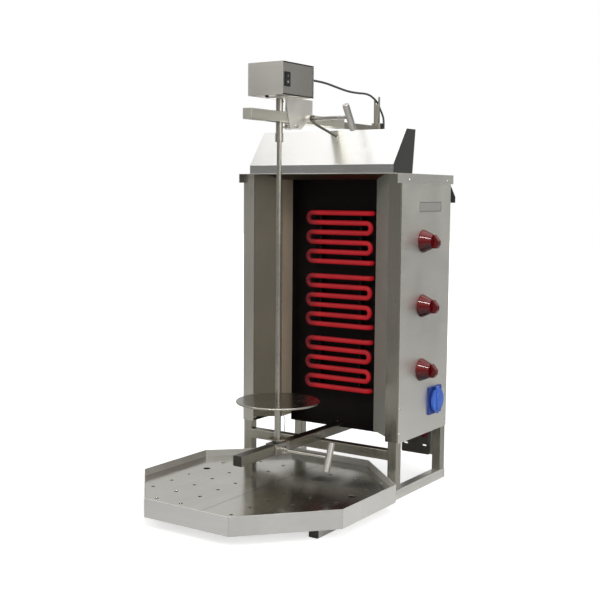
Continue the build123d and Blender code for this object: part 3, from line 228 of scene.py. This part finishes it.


# Brushed steel: how much broader its wide streaks are than the fine ones, its clouds in cycles to the metre,
# how far its brighter edges reach, partly wear and partly a painted highlight, and how much streaks and clouds change
# its roughness
streak_ratio = 9
steel_clouds = (7, 7, 5)
wear_and_highlight_reach = 0.0012
streak_rough = (-0.06, 0.08)
cloud_rough = (-0.04, 0.07)


def brushed(
    name, tint, grain, roughness=0.3, streak=0.12, smudge=0.1, edge=0.35, lift=0.12, metal=1.0, sides=(),
    seam=0.0, inner=None,
):
    """Brushed stainless steel. grain is the streaks' scale along each axis: low along the brushing.
    streak and smudge are how much the tone varies in streaks and in clouds, edge is how much brighter
    edges are, partly as wear and partly as a painted highlight, and lift is the strength of the relief.
    sides are the ways in which faces look that get painted light or shade, and how bright that is painted.
    seam darkens the upright corners, where two sheets meet. inner is the tone of a painted shade on the faces that
    look right
    on the left side of the object: the inside of a folded edge, where shade falls."""
    made, tree, shader = start(name, Metallic=metal)
    fine = noise(tree, grain, detail=6, roughness=0.65)
    broad = noise(tree, tuple(g / streak_ratio for g in grain), detail=3)
    cloud = noise(tree, steel_clouds, detail=5, roughness=0.6, distortion=0.6)
    value = maths(tree, "ADD", spread(tree, fine, -streak, streak), spread(tree, broad, -streak / 2, streak / 2))
    value = maths(tree, "ADD", value, spread(tree, cloud, -smudge / 2, smudge / 2))
    value = maths(tree, "ADD", value, 1.0)
    # Brighter edges, partly wear and partly a painted highlight
    value = maths(tree, "ADD", value, maths(tree, "MULTIPLY", edges(tree, wear_and_highlight_reach), edge))
    # Painted light and shade: faces that look the given ways take their tone
    tones = [by_way(tree, way, 1.0, tone) for way, tone in sides]
    if inner:
        tones.append(inner_painted_shade(tree, inner))
    if seam:
        tones.append(seam_tone(tree, seam))
    for tone in tones:
        value = maths(tree, "MULTIPLY", value, tone)
    shade = node(tree, "ShaderNodeVectorMath", {0: tint[:3], "Scale": value}, operation="SCALE")
    tree.links.new(shade.outputs["Vector"], shader.inputs["Base Color"])
    rough = maths(tree, "ADD", spread(tree, fine, *streak_rough), spread(tree, cloud, *cloud_rough))
    rough = maths(tree, "ADD", rough, roughness)
    tree.links.new(rough, shader.inputs["Roughness"])
    grained(tree, shader, fine, lift)
    return made


# Plastic: its clouds in cycles to the metre and how much they show, how far rubbed edges reach and how much
# they show, the upward part of the normal where the painted shade of the undersides is full and where it ends,
# and how much clouds change the roughness
plastic_clouds = (45, 45, 45)
clouding = (0.0, 0.3)
rub_reach = 0.0008
rubbing = 0.6
underside = (-0.6, 0.25)
plastic_rough = (-0.05, 0.08)


def plastic(name, tint, worn_tint, roughness=0.35, grain=900, lift=0.08, shine=0.5, painted_underside_shade=None):
    """Moulded plastic with a fine grain, faint clouding, and edges rubbed to another colour.
    The last argument is the colour of the faces that look down, a painted shade."""
    made, tree, shader = start(name, Specular_IOR_Level=shine)
    fine = noise(tree, (grain, grain, grain), detail=3)
    cloud = noise(tree, plastic_clouds, detail=4)
    shade = blended(tree, spread(tree, cloud, *clouding), tint, worn_tint)
    shade = blended(tree, maths(tree, "MULTIPLY", edges(tree, rub_reach), rubbing), shade, worn_tint)
    # Painted shade: faces that look down take the darker colour
    if painted_underside_shade:
        shade = blended(tree, spread(tree, dot(tree, normal(tree), upward), 1, 0, *underside), shade, painted_underside_shade)
    tree.links.new(shade, shader.inputs["Base Color"])
    rough = maths(tree, "ADD", spread(tree, cloud, *plastic_rough), roughness)
    tree.links.new(rough, shader.inputs["Roughness"])
    grained(tree, shader, fine, lift)
    return made


# Grain scales in cycles to the metre: low along the brushing, or even
along_x = (12, 700, 700)
along_y = (700, 12, 700)
along_z = (700, 700, 9)
on_plate = (420, 420, 60)
even = (900, 900, 900)
satin = (1500, 1500, 1500)
polished = (2400, 2400, 2400)

# Painted light and shade on brushed steel: the ways in which faces look, and the tone painted there, darker below 1
# and lighter above 1
left_wing_painted_light = ((rightward, 4.9),)
cowl_painted_shade = ((rightward, 0.4),)
hood_painted_shade = ((rightward, 0.12), (leftward, 0.16), (frontward, 0.56))
lower_arm_painted_shade = ((frontward, 0.2), (upward, 0.22))
pan_painted_shade = ((corner, 0.76), (frontward, 0.9), (leftward, 0.6))
motor_painted_shade = ((rightward, 0.75),)

# Many of these steels are one stainless steel in tints set part by part to how bright each part looks in the studio
# light: beside real differences of finish, these differences are painted light and shade, such as the dark
# front_steel of the right front strip and the light bracket_steel beside motor_steel
panel_steel = brushed(
    "panel_steel", linear(220, 218, 211), along_y, roughness=0.42, streak=0.02, smudge=0.03, edge=0.2,
)
front_steel = brushed(
    "front_steel", linear(146, 143, 132), along_z, roughness=0.2, streak=0.025, smudge=0.05,
)
left_front_steel = brushed(
    "left_front_steel", linear(190, 187, 177), along_z, roughness=0.34, streak=0.03, smudge=0.06,
)
wing_steel = brushed(
    "wing_steel", linear(158, 158, 150), along_z, roughness=0.4, streak=0.03, smudge=0.1, metal=0.6, seam=0.6,
)
brow_steel = brushed(
    "brow_steel", linear(88, 82, 70), along_x, roughness=0.4, streak=0.06, smudge=0.1,
)
left_wing_steel = brushed(
    "left_wing_steel", linear(105, 99, 86), along_z, roughness=0.4, streak=0.04, smudge=0.14, metal=0.6,
    sides=left_wing_painted_light, seam=0.4,
)
# The inner tone is a painted shade on the inside of the top cover's left flange
cover_steel = brushed(
    "cover_steel", linear(220, 218, 212), along_x, roughness=0.36, streak=0.04, smudge=0.06, inner=0.32,
)
cowl_steel = brushed(
    "cowl_steel", linear(76, 74, 71), along_z, roughness=0.34, streak=0.06, smudge=0.06, sides=cowl_painted_shade,
)
hood_steel = brushed(
    "hood_steel", linear(247, 247, 246), along_x, roughness=0.19, streak=0.01, smudge=0.02, edge=0.1, lift=0.03,
    sides=hood_painted_shade,
)
tube_steel_x = brushed(
    "tube_steel_x", linear(164, 161, 150), along_x, roughness=0.28, streak=0.08, smudge=0.12,
)
tube_steel_y = brushed(
    "tube_steel_y", linear(160, 157, 146), along_y, roughness=0.28, streak=0.08, smudge=0.12,
    sides=lower_arm_painted_shade,
)
arm_steel = brushed(
    "arm_steel", linear(206, 204, 193), along_y, roughness=0.3, streak=0.06, smudge=0.1,
)
rail_steel = brushed(
    "rail_steel", linear(224, 223, 218), along_y, roughness=0.34, streak=0.06, smudge=0.1,
)
tube_steel_z = brushed(
    "tube_steel_z", linear(164, 161, 150), along_z, roughness=0.28, streak=0.08, smudge=0.12,
)
pan_steel = brushed(
    "pan_steel", linear(222, 221, 217), along_x, roughness=0.46, streak=0.04, smudge=0.06, edge=0.3,
    sides=pan_painted_shade, seam=0.55,
)
grid_steel = brushed(
    "grid_steel", linear(190, 188, 182), along_y, roughness=0.14, streak=0.05, smudge=0.1, lift=0.05,
)
motor_steel = brushed(
    "motor_steel", linear(182, 179, 173), along_x, roughness=0.42, streak=0.03, smudge=0.04, sides=motor_painted_shade,
)
bracket_steel = brushed(
    "bracket_steel", linear(236, 234, 227), along_z, roughness=0.36, streak=0.05, smudge=0.1, edge=0.0,
)
turned_steel = brushed(
    "turned_steel", linear(166, 163, 153), polished, roughness=0.24, streak=0.02, smudge=0.06, edge=0.0, lift=0.02,
)
# The plate's rim is painted far brighter than other edges: a painted highlight
plate_steel = brushed(
    "plate_steel", linear(160, 157, 149), on_plate, roughness=0.2, streak=0.06, smudge=0.1, edge=2.0,
)
small_steel = brushed(
    "small_steel", linear(184, 181, 175), even, roughness=0.28, streak=0.08, smudge=0.06, edge=0.1,
)
dark_steel = brushed(
    "dark_steel", linear(104, 101, 95), even, roughness=0.36, streak=0.1, smudge=0.1,
)
screw_steel = brushed(
    "screw_steel", linear(212, 210, 204), even, roughness=0.4, streak=0.04, smudge=0.04, edge=0.1,
)
badge_steel = brushed(
    "badge_steel", linear(214, 212, 207), satin, roughness=0.34, streak=0.02, smudge=0.01, edge=0.0, lift=0.02,
)

black_plastic = plastic("black_plastic", linear(9, 9, 10), linear(22, 22, 24), roughness=0.5)
cap_grey = plastic("cap_grey", linear(62, 60, 56), linear(84, 82, 76), roughness=0.5)
# The knobs' undersides are painted darker: painted shade
knob_red = plastic(
    "knob_red", linear(100, 2, 7), linear(106, 4, 10), roughness=0.1, grain=300, lift=0.01, shine=0.4,
    painted_underside_shade=linear(46, 2, 6),
)
socket_blue = plastic("socket_blue", linear(26, 52, 130), linear(50, 84, 168), roughness=0.4)
lid_blue = plastic("lid_blue", linear(52, 102, 208), linear(88, 138, 228), roughness=0.34)
gland_red = plastic("gland_red", linear(110, 18, 22), linear(140, 40, 44))
cable_rubber = plastic("cable_rubber", linear(44, 44, 46), linear(78, 78, 80), roughness=0.5, grain=1500, lift=0.15)
grey_paint = plastic("grey_paint", linear(120, 124, 128), linear(160, 162, 164), roughness=0.45)
mark_white = plastic("mark_white", linear(206, 206, 200), linear(170, 170, 165), roughness=0.5)


def enamel():
    """Heat-darkened black enamel with faint brown clouds and grey edges."""
    made, tree, shader = start("black_enamel", Specular_IOR_Level=0.12)
    cloud = noise(tree, (22, 22, 22), detail=6, roughness=0.6)
    fine = noise(tree, (600, 600, 600), detail=2)
    shade = blended(tree, spread(tree, cloud, 0, 1), linear(11, 9, 8), linear(20, 13, 12))
    shade = blended(tree, maths(tree, "MULTIPLY", edges(tree, 0.001), 0.3), shade, linear(52, 46, 42))
    tree.links.new(shade, shader.inputs["Base Color"])
    tree.links.new(spread(tree, cloud, 0.5, 0.7), shader.inputs["Roughness"])
    grained(tree, shader, fine, lift=0.1)
    return made


# The heating rods: where their runs lie along Y and their radius, how far from the leftmost point the bends are
# dim and where that has faded out, all in metres, and the way in which the side looks that is painted brightest, with
# painted shade round the rest
rod_axis_y = 0.205
rod_radius = 0.0065
bend_dim, bend_fade = 0.004, 0.042
painted_bright_way = (0.3, -0.95, 0.05)


def hot():
    """A glowing rod: painted brightest along the front of its runs, with painted shade on their other sides, duller
    at the left bends, dark at its cold ends.
    """
    made, tree, shader = start("hot_rod", Roughness=0.55, Specular_IOR_Level=0.25, Emission_Strength=0.5)
    place = node(tree, "ShaderNodeTexCoord")
    split = node(tree, "ShaderNodeSeparateXYZ", {"Vector": place.outputs["Object"]})
    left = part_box("heater_middle")[0].x
    scale = noise(tree, (160, 160, 160), detail=5, roughness=0.7)
    cloud = noise(tree, (14, 14, 30), detail=3)
    # Painted shade round each rod: brightest where the face looks the bright way
    front = spread(tree, dot(tree, normal(tree), painted_bright_way), 0, 1, 0.15, 0.95)
    bend = spread(tree, split.outputs["X"], 1, 0, left + bend_dim, left + bend_fade)
    cold = spread(tree, split.outputs["Y"], 0, 1, rod_axis_y + rod_radius, rod_axis_y + 2 * rod_radius)
    glow = blended(tree, front, linear(96, 5, 14), linear(236, 36, 46))
    glow = blended(tree, spread(tree, cloud, 0, 0.6), glow, linear(176, 22, 34))
    glow = blended(tree, spread(tree, scale, 0, 0.2, 0.45, 0.75), glow, linear(120, 12, 22))
    glow = blended(tree, bend, glow, linear(84, 6, 20))
    glow = blended(tree, cold, glow, linear(0, 0, 0))
    tree.links.new(glow, shader.inputs["Emission Color"])
    tree.links.new(blended(tree, scale, linear(48, 6, 10), linear(26, 8, 9)), shader.inputs["Base Color"])
    grained(tree, shader, scale, lift=0.2, distance=0.0003)
    return made


black_enamel = enamel()
hot_rod = hot()

dressing = {
    panel_steel: ["side_panel"],
    front_steel: ["casing_right"],
    left_front_steel: ["casing_left"],
    wing_steel: ["reflector_right"],
    brow_steel: ["reflector_top"],
    left_wing_steel: ["reflector_left"],
    cover_steel: ["top_cover", "back_panel"],
    cowl_steel: ["vent_cowl"],
    hood_steel: ["hood"],
    tube_steel_x: ["cross_rail_front", "cross_rail_rear"],
    tube_steel_y: ["lower_arm"],
    arm_steel: ["upper_arm"],
    rail_steel: ["rail_left", "rail_right"],
    tube_steel_z: ["leg_front_left", "leg_front_right", "leg_rear_left", "leg_rear_right", "arm_column"],
    pan_steel: ["drip_pan"],
    grid_steel: ["grid_left", "grid_right"],
    motor_steel: ["motor_box", "motor_cover"],
    bracket_steel: ["motor_bracket"],
    screw_steel: ["panel_screws"],
    turned_steel: ["drive_coupling", "coupling_collar", "spit_rod", "plate_sleeve"],
    plate_steel: ["spit_plate"],
    badge_steel: ["badge_plate"],
    small_steel: ["r_clip", "upper_clamp", "lower_clamp", "bracket_bolt", "lower_carriage"],
    dark_steel: ["clamp_lever", "bearing_cup", "terminal_box"],
    black_enamel: ["heater_box", "heater_clips"],
    hot_rod: ["heater_upper", "heater_middle", "heater_lower"],
    knob_red: ["knob_upper", "knob_middle", "knob_lower"],
    socket_blue: ["socket_body"],
    lid_blue: ["socket_lid"],
    cap_grey: ["rail_end_caps"],
    black_plastic: ["switch_body", "switch_rocker", "motor_gland", "regulators"],
    gland_red: ["cable_glands"],
    grey_paint: ["gearmotor"],
}

for material, names in dressing.items():
    for name in names:
        nodes[name].data.materials.clear()
        nodes[name].data.materials.append(material)


# Lines and tubes along them
def make_line(name, route, radii):
    """A NURBS line with a route's points as its control points, each with a radius."""
    data = bpy.data.curves.new(name, "CURVE")
    data.dimensions = "3D"
    line = data.splines.new("NURBS")
    line.points.add(len(route) - 1)
    for spot, place, radius in zip(line.points, route, radii):
        spot.co = (*place, 1)
        spot.radius = radius
    line.order_u = 3
    line.use_endpoint_u = True
    data.resolution_u = 8
    made = bpy.data.objects.new(name, data)
    collection.objects.link(made)
    return made


def tube(line, depth):
    """The mesh of a tube along a line, as thick as the depth times each point's radius. The line is removed."""
    line.data.bevel_depth = depth
    line.data.bevel_resolution = 6
    line.data.use_fill_caps = True
    mesh = bpy.data.meshes.new_from_object(line)
    bpy.data.objects.remove(line)
    return mesh


# Motor cable: a smooth line through the route of the CAD cable, from the motor's gland to the back panel
cable = 0.0055
cable_route = (
    (0.033, 0.010, 1.031),
    (0.033, 0.045, 1.031),
    (0.0322, 0.095, 1.030),
    (0.030, 0.150, 1.0245),
    (0.027, 0.208, 1.0195),
    (0.023, 0.263, 1.020),
    (0.0185, 0.310, 1.023),
    (0.014, 0.344, 1.0215),
    (0.0108, 0.368, 1.0163),
    (0.0093, 0.387, 1.010),
    (0.0086, 0.400, 1.001),
    (0.0106, 0.4064, 0.989),
    (0.0166, 0.408, 0.976),
    (0.0222, 0.4066, 0.9625),
    (0.0242, 0.4042, 0.941),
    (0.0237, 0.402, 0.905),
    (0.0239, 0.4026, 0.855),
    (0.0237, 0.4014, 0.800),
    (0.0238, 0.402, 0.752),
    (0.02375, 0.4014, 0.727),
    (0.02375, 0.4012, 0.7064),
    (0.02375, 0.3954, 0.696),
    (0.02375, 0.385, 0.690),
    (0.02375, 0.373, 0.690),
)


def make_cable():
    """The cable as a tube on its line, between the sliding carriage and the stand."""
    line = make_line("cable_line", cable_route, [1] * len(cable_route))
    path = [v.co.copy() for v in bpy.data.meshes.new_from_object(line).vertices]
    mesh = tube(line, cable / 2)
    made = bpy.data.objects.new("motor_cable_flex", mesh)
    collection.objects.link(made)
    mesh.materials.clear()
    mesh.materials.append(cable_rubber)
    for polygon in mesh.polygons:
        polygon.use_smooth = True
    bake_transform(made)
    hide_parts("motor_cable")


make_cable()


# Small pieces
def block(shape, low, high):
    """Adds a box between two corners, with its edges cut, to a mesh in the making."""
    made = bmesh.ops.create_cube(shape, size=1)["verts"]
    size = Vector(high) - Vector(low)
    middle = (Vector(low) + Vector(high)) / 2
    for vert in made:
        vert.co = middle + Vector(a * b for a, b in zip(vert.co, size))
    rims = dict.fromkeys(edge for vert in made for edge in vert.link_edges)
    bmesh.ops.bevel(shape, geom=list(rims), offset=min(size) * 0.2, segments=2, affect="EDGES")


def turn_steps(sides):
    """The angles of a full turn's steps."""
    return [math.tau * i / sides for i in range(sides)]


def hoop(shape, centre, profile, turns):
    """Adds a closed ring round an axis along X. The profile's loops each have a rise and a radius at every turn."""
    loops = []
    for rise, radii in profile:
        spots = [Vector((rise, r * math.cos(a), r * math.sin(a))) + Vector(centre) for r, a in zip(radii, turns)]
        loops.append([shape.verts.new(spot) for spot in spots])
    for first, second in zip(loops, loops[1:] + loops[:1]):
        for i in range(len(turns)):
            j = (i + 1) % len(turns)
            shape.faces.new((first[i], first[j], second[j], second[i]))


def ring(shape, centre, inner, outer, height, sides=24):
    """Adds a flat ring."""
    profile = [(0, inner), (height, inner), (height, outer), (0, outer)]
    hoop(shape, centre, [(rise, [radius] * sides) for rise, radius in profile], turn_steps(sides))


def nut(shape, centre, bore, reach, thick, sides=24):
    """Adds a hexagon nut whose corners reach so far, with the corners of its ends cut round."""
    turns = turn_steps(sides)
    sixth = math.tau / 6
    cut = (reach - bore) / 6
    hole = [bore] * sides
    flats = [reach * math.cos(sixth / 2) / math.cos(a % sixth - sixth / 2) for a in turns]
    end = [(reach - cut) * math.cos(sixth / 2)] * sides
    hoop(shape, centre, [(0, hole), (thick, hole), (thick, end), (thick - cut, flats), (cut, flats), (0, end)], turns)


def finish(name, shape, body, material, smooth_from=None):
    """Makes the piece, on its body, in its material. Its faces are smooth from a number on, if one is given."""
    bmesh.ops.recalc_face_normals(shape, faces=shape.faces)
    mesh = bpy.data.meshes.new(name)
    shape.to_mesh(mesh)
    shape.free()
    mesh.materials.append(material)
    for polygon in mesh.polygons:
        polygon.use_smooth = smooth_from is not None and polygon.index >= smooth_from
    made = bpy.data.objects.new(name, mesh)
    collection.objects.link(made)
    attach(made, body)
    return made


# Screw heads by their places along Y and Z, the faces that they are on, and the slots of their cross recesses
right_screws = ((0.114, 0.2295), (0.114, 0.1658), (0.356, 0.2308), (0.356, 0.1654))
flange_screws = ((0.143, 0.7915), (0.351, 0.7915))
screw_face_panel = 0.2477
screw_face_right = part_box("panel_screws")[1].x
screw_face_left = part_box("panel_screws")[0].x
slot_reach = 0.0019
slot_half = 0.0004
slot_rise = 0.00015
slot_sink = 0.0004


def make_crosses():
    """Cross recesses in the screw heads, as dark slots."""
    shape = bmesh.new()
    for x, way, screws in (
        (screw_face_panel, 1, right_screws),
        (screw_face_right, 1, flange_screws),
        (screw_face_left, -1, flange_screws),
    ):
        low, high = sorted((x - way * slot_sink, x + way * slot_rise))
        for y, z in screws:
            block(shape, (low, y - slot_reach, z - slot_half), (high, y + slot_reach, z + slot_half))
            block(shape, (low, y - slot_half, z - slot_reach), (high, y + slot_half, z + slot_reach))
    finish("screw_crosses", shape, "stand", black_plastic)


make_crosses()

badge_low, badge_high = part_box("badge_plate")
rim = 0.0012
rim_rise = 0.0003


def make_badge_rim():
    """A thin raised line round the blank badge plate."""
    shape = bmesh.new()
    x = badge_high.x
    y0, y1 = badge_low.y + rim, badge_high.y - rim
    z0, z1 = badge_low.z + rim, badge_high.z - rim
    for low, high in (
        ((y0, z0), (y1, z0 + rim)),
        ((y0, z1 - rim), (y1, z1)),
        ((y0, z0 + rim), (y0 + rim, z1 - rim)),
        ((y1 - rim, z0 + rim), (y1, z1 - rim)),
    ):
        block(shape, (x - rim_rise, *low), (x + rim_rise, *high))
    finish("badge_rim", shape, "stand", dark_steel)


make_badge_rim()

rocker_low, rocker_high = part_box("switch_rocker")
mark_z = 0.007
mark_x = rocker_high.x - 0.0007
mark_rise = 0.0003
bar_half, bar_reach = 0.0006, 0.0025
ring_bore, ring_reach = 0.0016, 0.0025


def make_marks():
    """A bar and a ring on the rocker, for on and off."""
    shape = bmesh.new()
    y = (rocker_low.y + rocker_high.y) / 2
    z = (rocker_low.z + rocker_high.z) / 2
    low = (mark_x - mark_rise, y - bar_half, z + mark_z - bar_reach)
    high = (mark_x + mark_rise, y + bar_half, z + mark_z + bar_reach)
    block(shape, low, high)
    ring(shape, (mark_x - mark_rise, y, z - mark_z), ring_bore, ring_reach, 2 * mark_rise)
    finish("rocker_marks", shape, "rocker", mark_white)


make_marks()

lid_low, lid_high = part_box("socket_lid")
lid_face = 0.2593
rib_half = 0.0095
rib_foot, rib_top = 0.009, 0.012
rib_sink, rib_rise = 0.0005, 0.0022


def make_lid_rib():
    """The raised middle rib on the socket's lid."""
    shape = bmesh.new()
    y = (lid_low.y + lid_high.y) / 2
    low = (lid_face - rib_sink, y - rib_half, lid_low.z + rib_foot)
    high = (lid_face + rib_rise, y + rib_half, lid_high.z - rib_top)
    block(shape, low, high)
    finish("lid_rib", shape, "lid", lid_blue, smooth_from=0)


make_lid_rib()

lever_route = (
    (0.0345, 0.0290, 0.9330),
    (0.0450, 0.0262, 0.9262),
    (0.0640, 0.0236, 0.9165),
    (0.0900, 0.0221, 0.9040),
    (0.1136, 0.0220, 0.8921),
)
lever_radii = (0.0030, 0.0031, 0.0032, 0.0032, 0.0032)
nut_place = (0.0303, 0.0336, 0.9387)
nut_bore, nut_reach, nut_thick = 0.0048, 0.009, 0.0077


def make_lever():
    """The lock nut as a hexagon and its lever, which leaves it in an easy bend."""
    bar = tube(make_line("lever_line", lever_route, lever_radii), 1)
    shape = bmesh.new()
    nut(shape, nut_place, nut_bore, nut_reach, nut_thick)
    nut_faces = len(shape.faces)
    shape.from_mesh(bar)
    made = finish("lock_nut_lever", shape, "lock_lever", dark_steel, smooth_from=nut_faces)
    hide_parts("clamp_lever")


make_lever()

box_low, box_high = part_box("motor_cover")
joint = 0.001
joint_foot = 0.0018
joint_rise = 0.0004
foot_x, foot_y, foot_half = 0.0075, -0.121, 0.0034
foot_drop = 1.4 * foot_half
foot_sink = foot_half / 4


def make_seams():
    """The dark joint along the motor box's right-hand edges, and a screw head under its front."""
    shape = bmesh.new()
    x = box_high.x
    for low, high in (
        ((box_low.y, box_high.z - joint), (0, box_high.z)),
        ((box_low.y, box_low.z), (0, box_low.z + joint_foot)),
        ((-joint, box_low.z), (0, box_high.z)),
    ):
        block(shape, (x - joint, *low), (x + joint_rise, *high))
    low = (foot_x - foot_half, foot_y - foot_half, box_low.z - foot_drop)
    high = (foot_x + foot_half, foot_y + foot_half, box_low.z + foot_sink)
    block(shape, low, high)
    finish("motor_box_seams", shape, "upper_carriage", black_plastic)


make_seams()

# Studio floor: its half size, and how bright it is to the camera near the object and further out
floor_half = 14
floor_glow = (0.62, 1.2)
floor_glow_reach = (0.5, 1.6)
# What metal sees of it in front of the object: a dark floor with a glow beyond a sheet's edge
sheet_front = (-0.6, -0.2)
sheet_reach = 1.56
sheet_fade = 0.04
sheet_far = 4
far_glow = (0.26, 0.44)
pale_tones = (0.78, 0.82)
dark_tone = 0.02


def grey(tone):
    """A grey as a linear colour."""
    return (tone, tone, tone, 1)


def make_floor():
    """A pale floor that takes the shadow. It is white to the camera further out, and metal sees it dark in front
    of the object, with a glow beyond the sheet's edge."""
    mesh = bpy.data.meshes.new("floor")
    corners = [(x * floor_half, y * floor_half, 0) for x, y in ((-1, -1), (1, -1), (1, 1), (-1, 1))]
    mesh.from_pydata(corners, [], [(0, 1, 2, 3)])
    made = bpy.data.objects.new("floor", mesh)
    collection.objects.link(made)
    material, tree, shader = start(
        "floor_pale", Roughness=0.9, Specular_IOR_Level=0.0, Emission_Color=(1, 1, 1, 1)
    )
    cloud = noise(tree, (2, 2, 2), detail=3)
    ray = node(tree, "ShaderNodeLightPath")
    place = node(tree, "ShaderNodeTexCoord").outputs["Object"]
    away = node(tree, "ShaderNodeVectorMath", {0: place}, operation="LENGTH").outputs["Value"]
    depth = node(tree, "ShaderNodeSeparateXYZ", {"Vector": place}).outputs["Y"]
    seen = maths(tree, "MAXIMUM", ray.outputs["Is Camera Ray"], ray.outputs["Is Transmission Ray"])
    white = maths(tree, "MULTIPLY", seen, spread(tree, away, *floor_glow, *floor_glow_reach))
    mirrored = maths(tree, "MULTIPLY", ray.outputs["Is Glossy Ray"], spread(tree, depth, 1, 0, *sheet_front))
    beyond = spread(tree, away, 0, 1, sheet_reach, sheet_reach + sheet_fade)
    sheet = maths(tree, "MULTIPLY", beyond, spread(tree, away, *far_glow, sheet_reach, sheet_far))
    strength = maths(tree, "ADD", white, maths(tree, "MULTIPLY", mirrored, sheet))
    shade = blended(tree, cloud, *(grey(tone) for tone in pale_tones))
    shade = blended(tree, maths(tree, "MULTIPLY", mirrored, beyond), shade, grey(dark_tone))
    tree.links.new(shade, shader.inputs["Base Color"])
    tree.links.new(strength, shader.inputs["Emission Strength"])
    mesh.materials.append(material)


# World: how bright it is to matt surfaces, and what metal sees: how bright the sky is at two heights
plain_light = 0.32
sky_shine = (0.5, 1.12)
sky_heights = (0.1, 0.6)
warm_white = (1, 0.99, 0.965, 1)
# Dimmer parts of it: the direction, the tone there, the tone at the horizon if another, and how nearly a ray
# points that way where the dimming begins and where it is full
dim_sides = (
    ((-0.6, -0.8, 0.04), 0.15, 0.8, (0.72, 0.95)),
    ((0.58, 0.81, 0.02), 0.85, None, (0.8, 0.97)),
    ((-0.66, -0.25, 0.71), 0.5, None, (0.988, 1.0)),
)
horizon = (0.03, 0.1)


def make_world():
    """White to the camera. Metal sees a bright sky, dimmer towards the horizon and in three directions."""
    world = bpy.data.worlds.new("studio")
    bpy.context.scene.world = world
    world.use_nodes = True
    tree = world.node_tree
    tree.nodes.clear()
    ray = node(tree, "ShaderNodeLightPath")
    way = node(tree, "ShaderNodeTexCoord").outputs["Generated"]
    height = node(tree, "ShaderNodeSeparateXYZ", {"Vector": way}).outputs["Z"]
    shine = spread(tree, height, *sky_shine, *sky_heights)
    for side, tone, horizon_tone, nearness in dim_sides:
        if horizon_tone is not None:
            tone = spread(tree, height, horizon_tone, tone, *horizon)
        shine = maths(tree, "MULTIPLY", shine, spread(tree, dot(tree, way, side), 1.0, tone, *nearness))
    plain = node(tree, "ShaderNodeBackground", {"Color": (1, 1, 1, 1), "Strength": plain_light})
    glossy = node(tree, "ShaderNodeBackground", {"Color": warm_white, "Strength": shine})
    white = node(tree, "ShaderNodeBackground", {"Color": (1, 1, 1, 1), "Strength": 1.0})
    values = {0: ray.outputs["Is Glossy Ray"], 1: plain.outputs[0], 2: glossy.outputs[0]}
    lit = node(tree, "ShaderNodeMixShader", values)
    seen = maths(tree, "MAXIMUM", ray.outputs["Is Camera Ray"], ray.outputs["Is Transmission Ray"])
    both = node(tree, "ShaderNodeMixShader", {0: seen, 1: lit.outputs[0], 2: white.outputs[0]})
    node(tree, "ShaderNodeOutputWorld", {"Surface": both.outputs[0]})


def lamp(name, place, target, size, power):
    """A rectangular lamp that points at a target. The size is in metres and the power in watts."""
    data = bpy.data.lights.new(name, "AREA")
    data.shape = "RECTANGLE"
    data.size, data.size_y = size
    data.energy = power
    made = bpy.data.objects.new(name, data)
    made.location = place
    made.rotation_mode = "QUATERNION"
    made.rotation_quaternion = (Vector(target) - Vector(place)).to_track_quat("-Z", "Y")
    collection.objects.link(made)


make_floor()
make_world()
middle = (cad_box[0] + cad_box[1]) / 2
lamp("key", (-1.6, -2.6, 2.6), middle, (1.6, 1.6), 30)
lamp("fill", (2.8, -0.8, 1.8), middle, (1.8, 1.8), 34)
lamp("top", (0.2, 0.2, 3.0), middle, (2.2, 2.2), 18)
lamp("strip", (0.94, -1.35, 2.2), middle, (0.6, 0.2), 16)
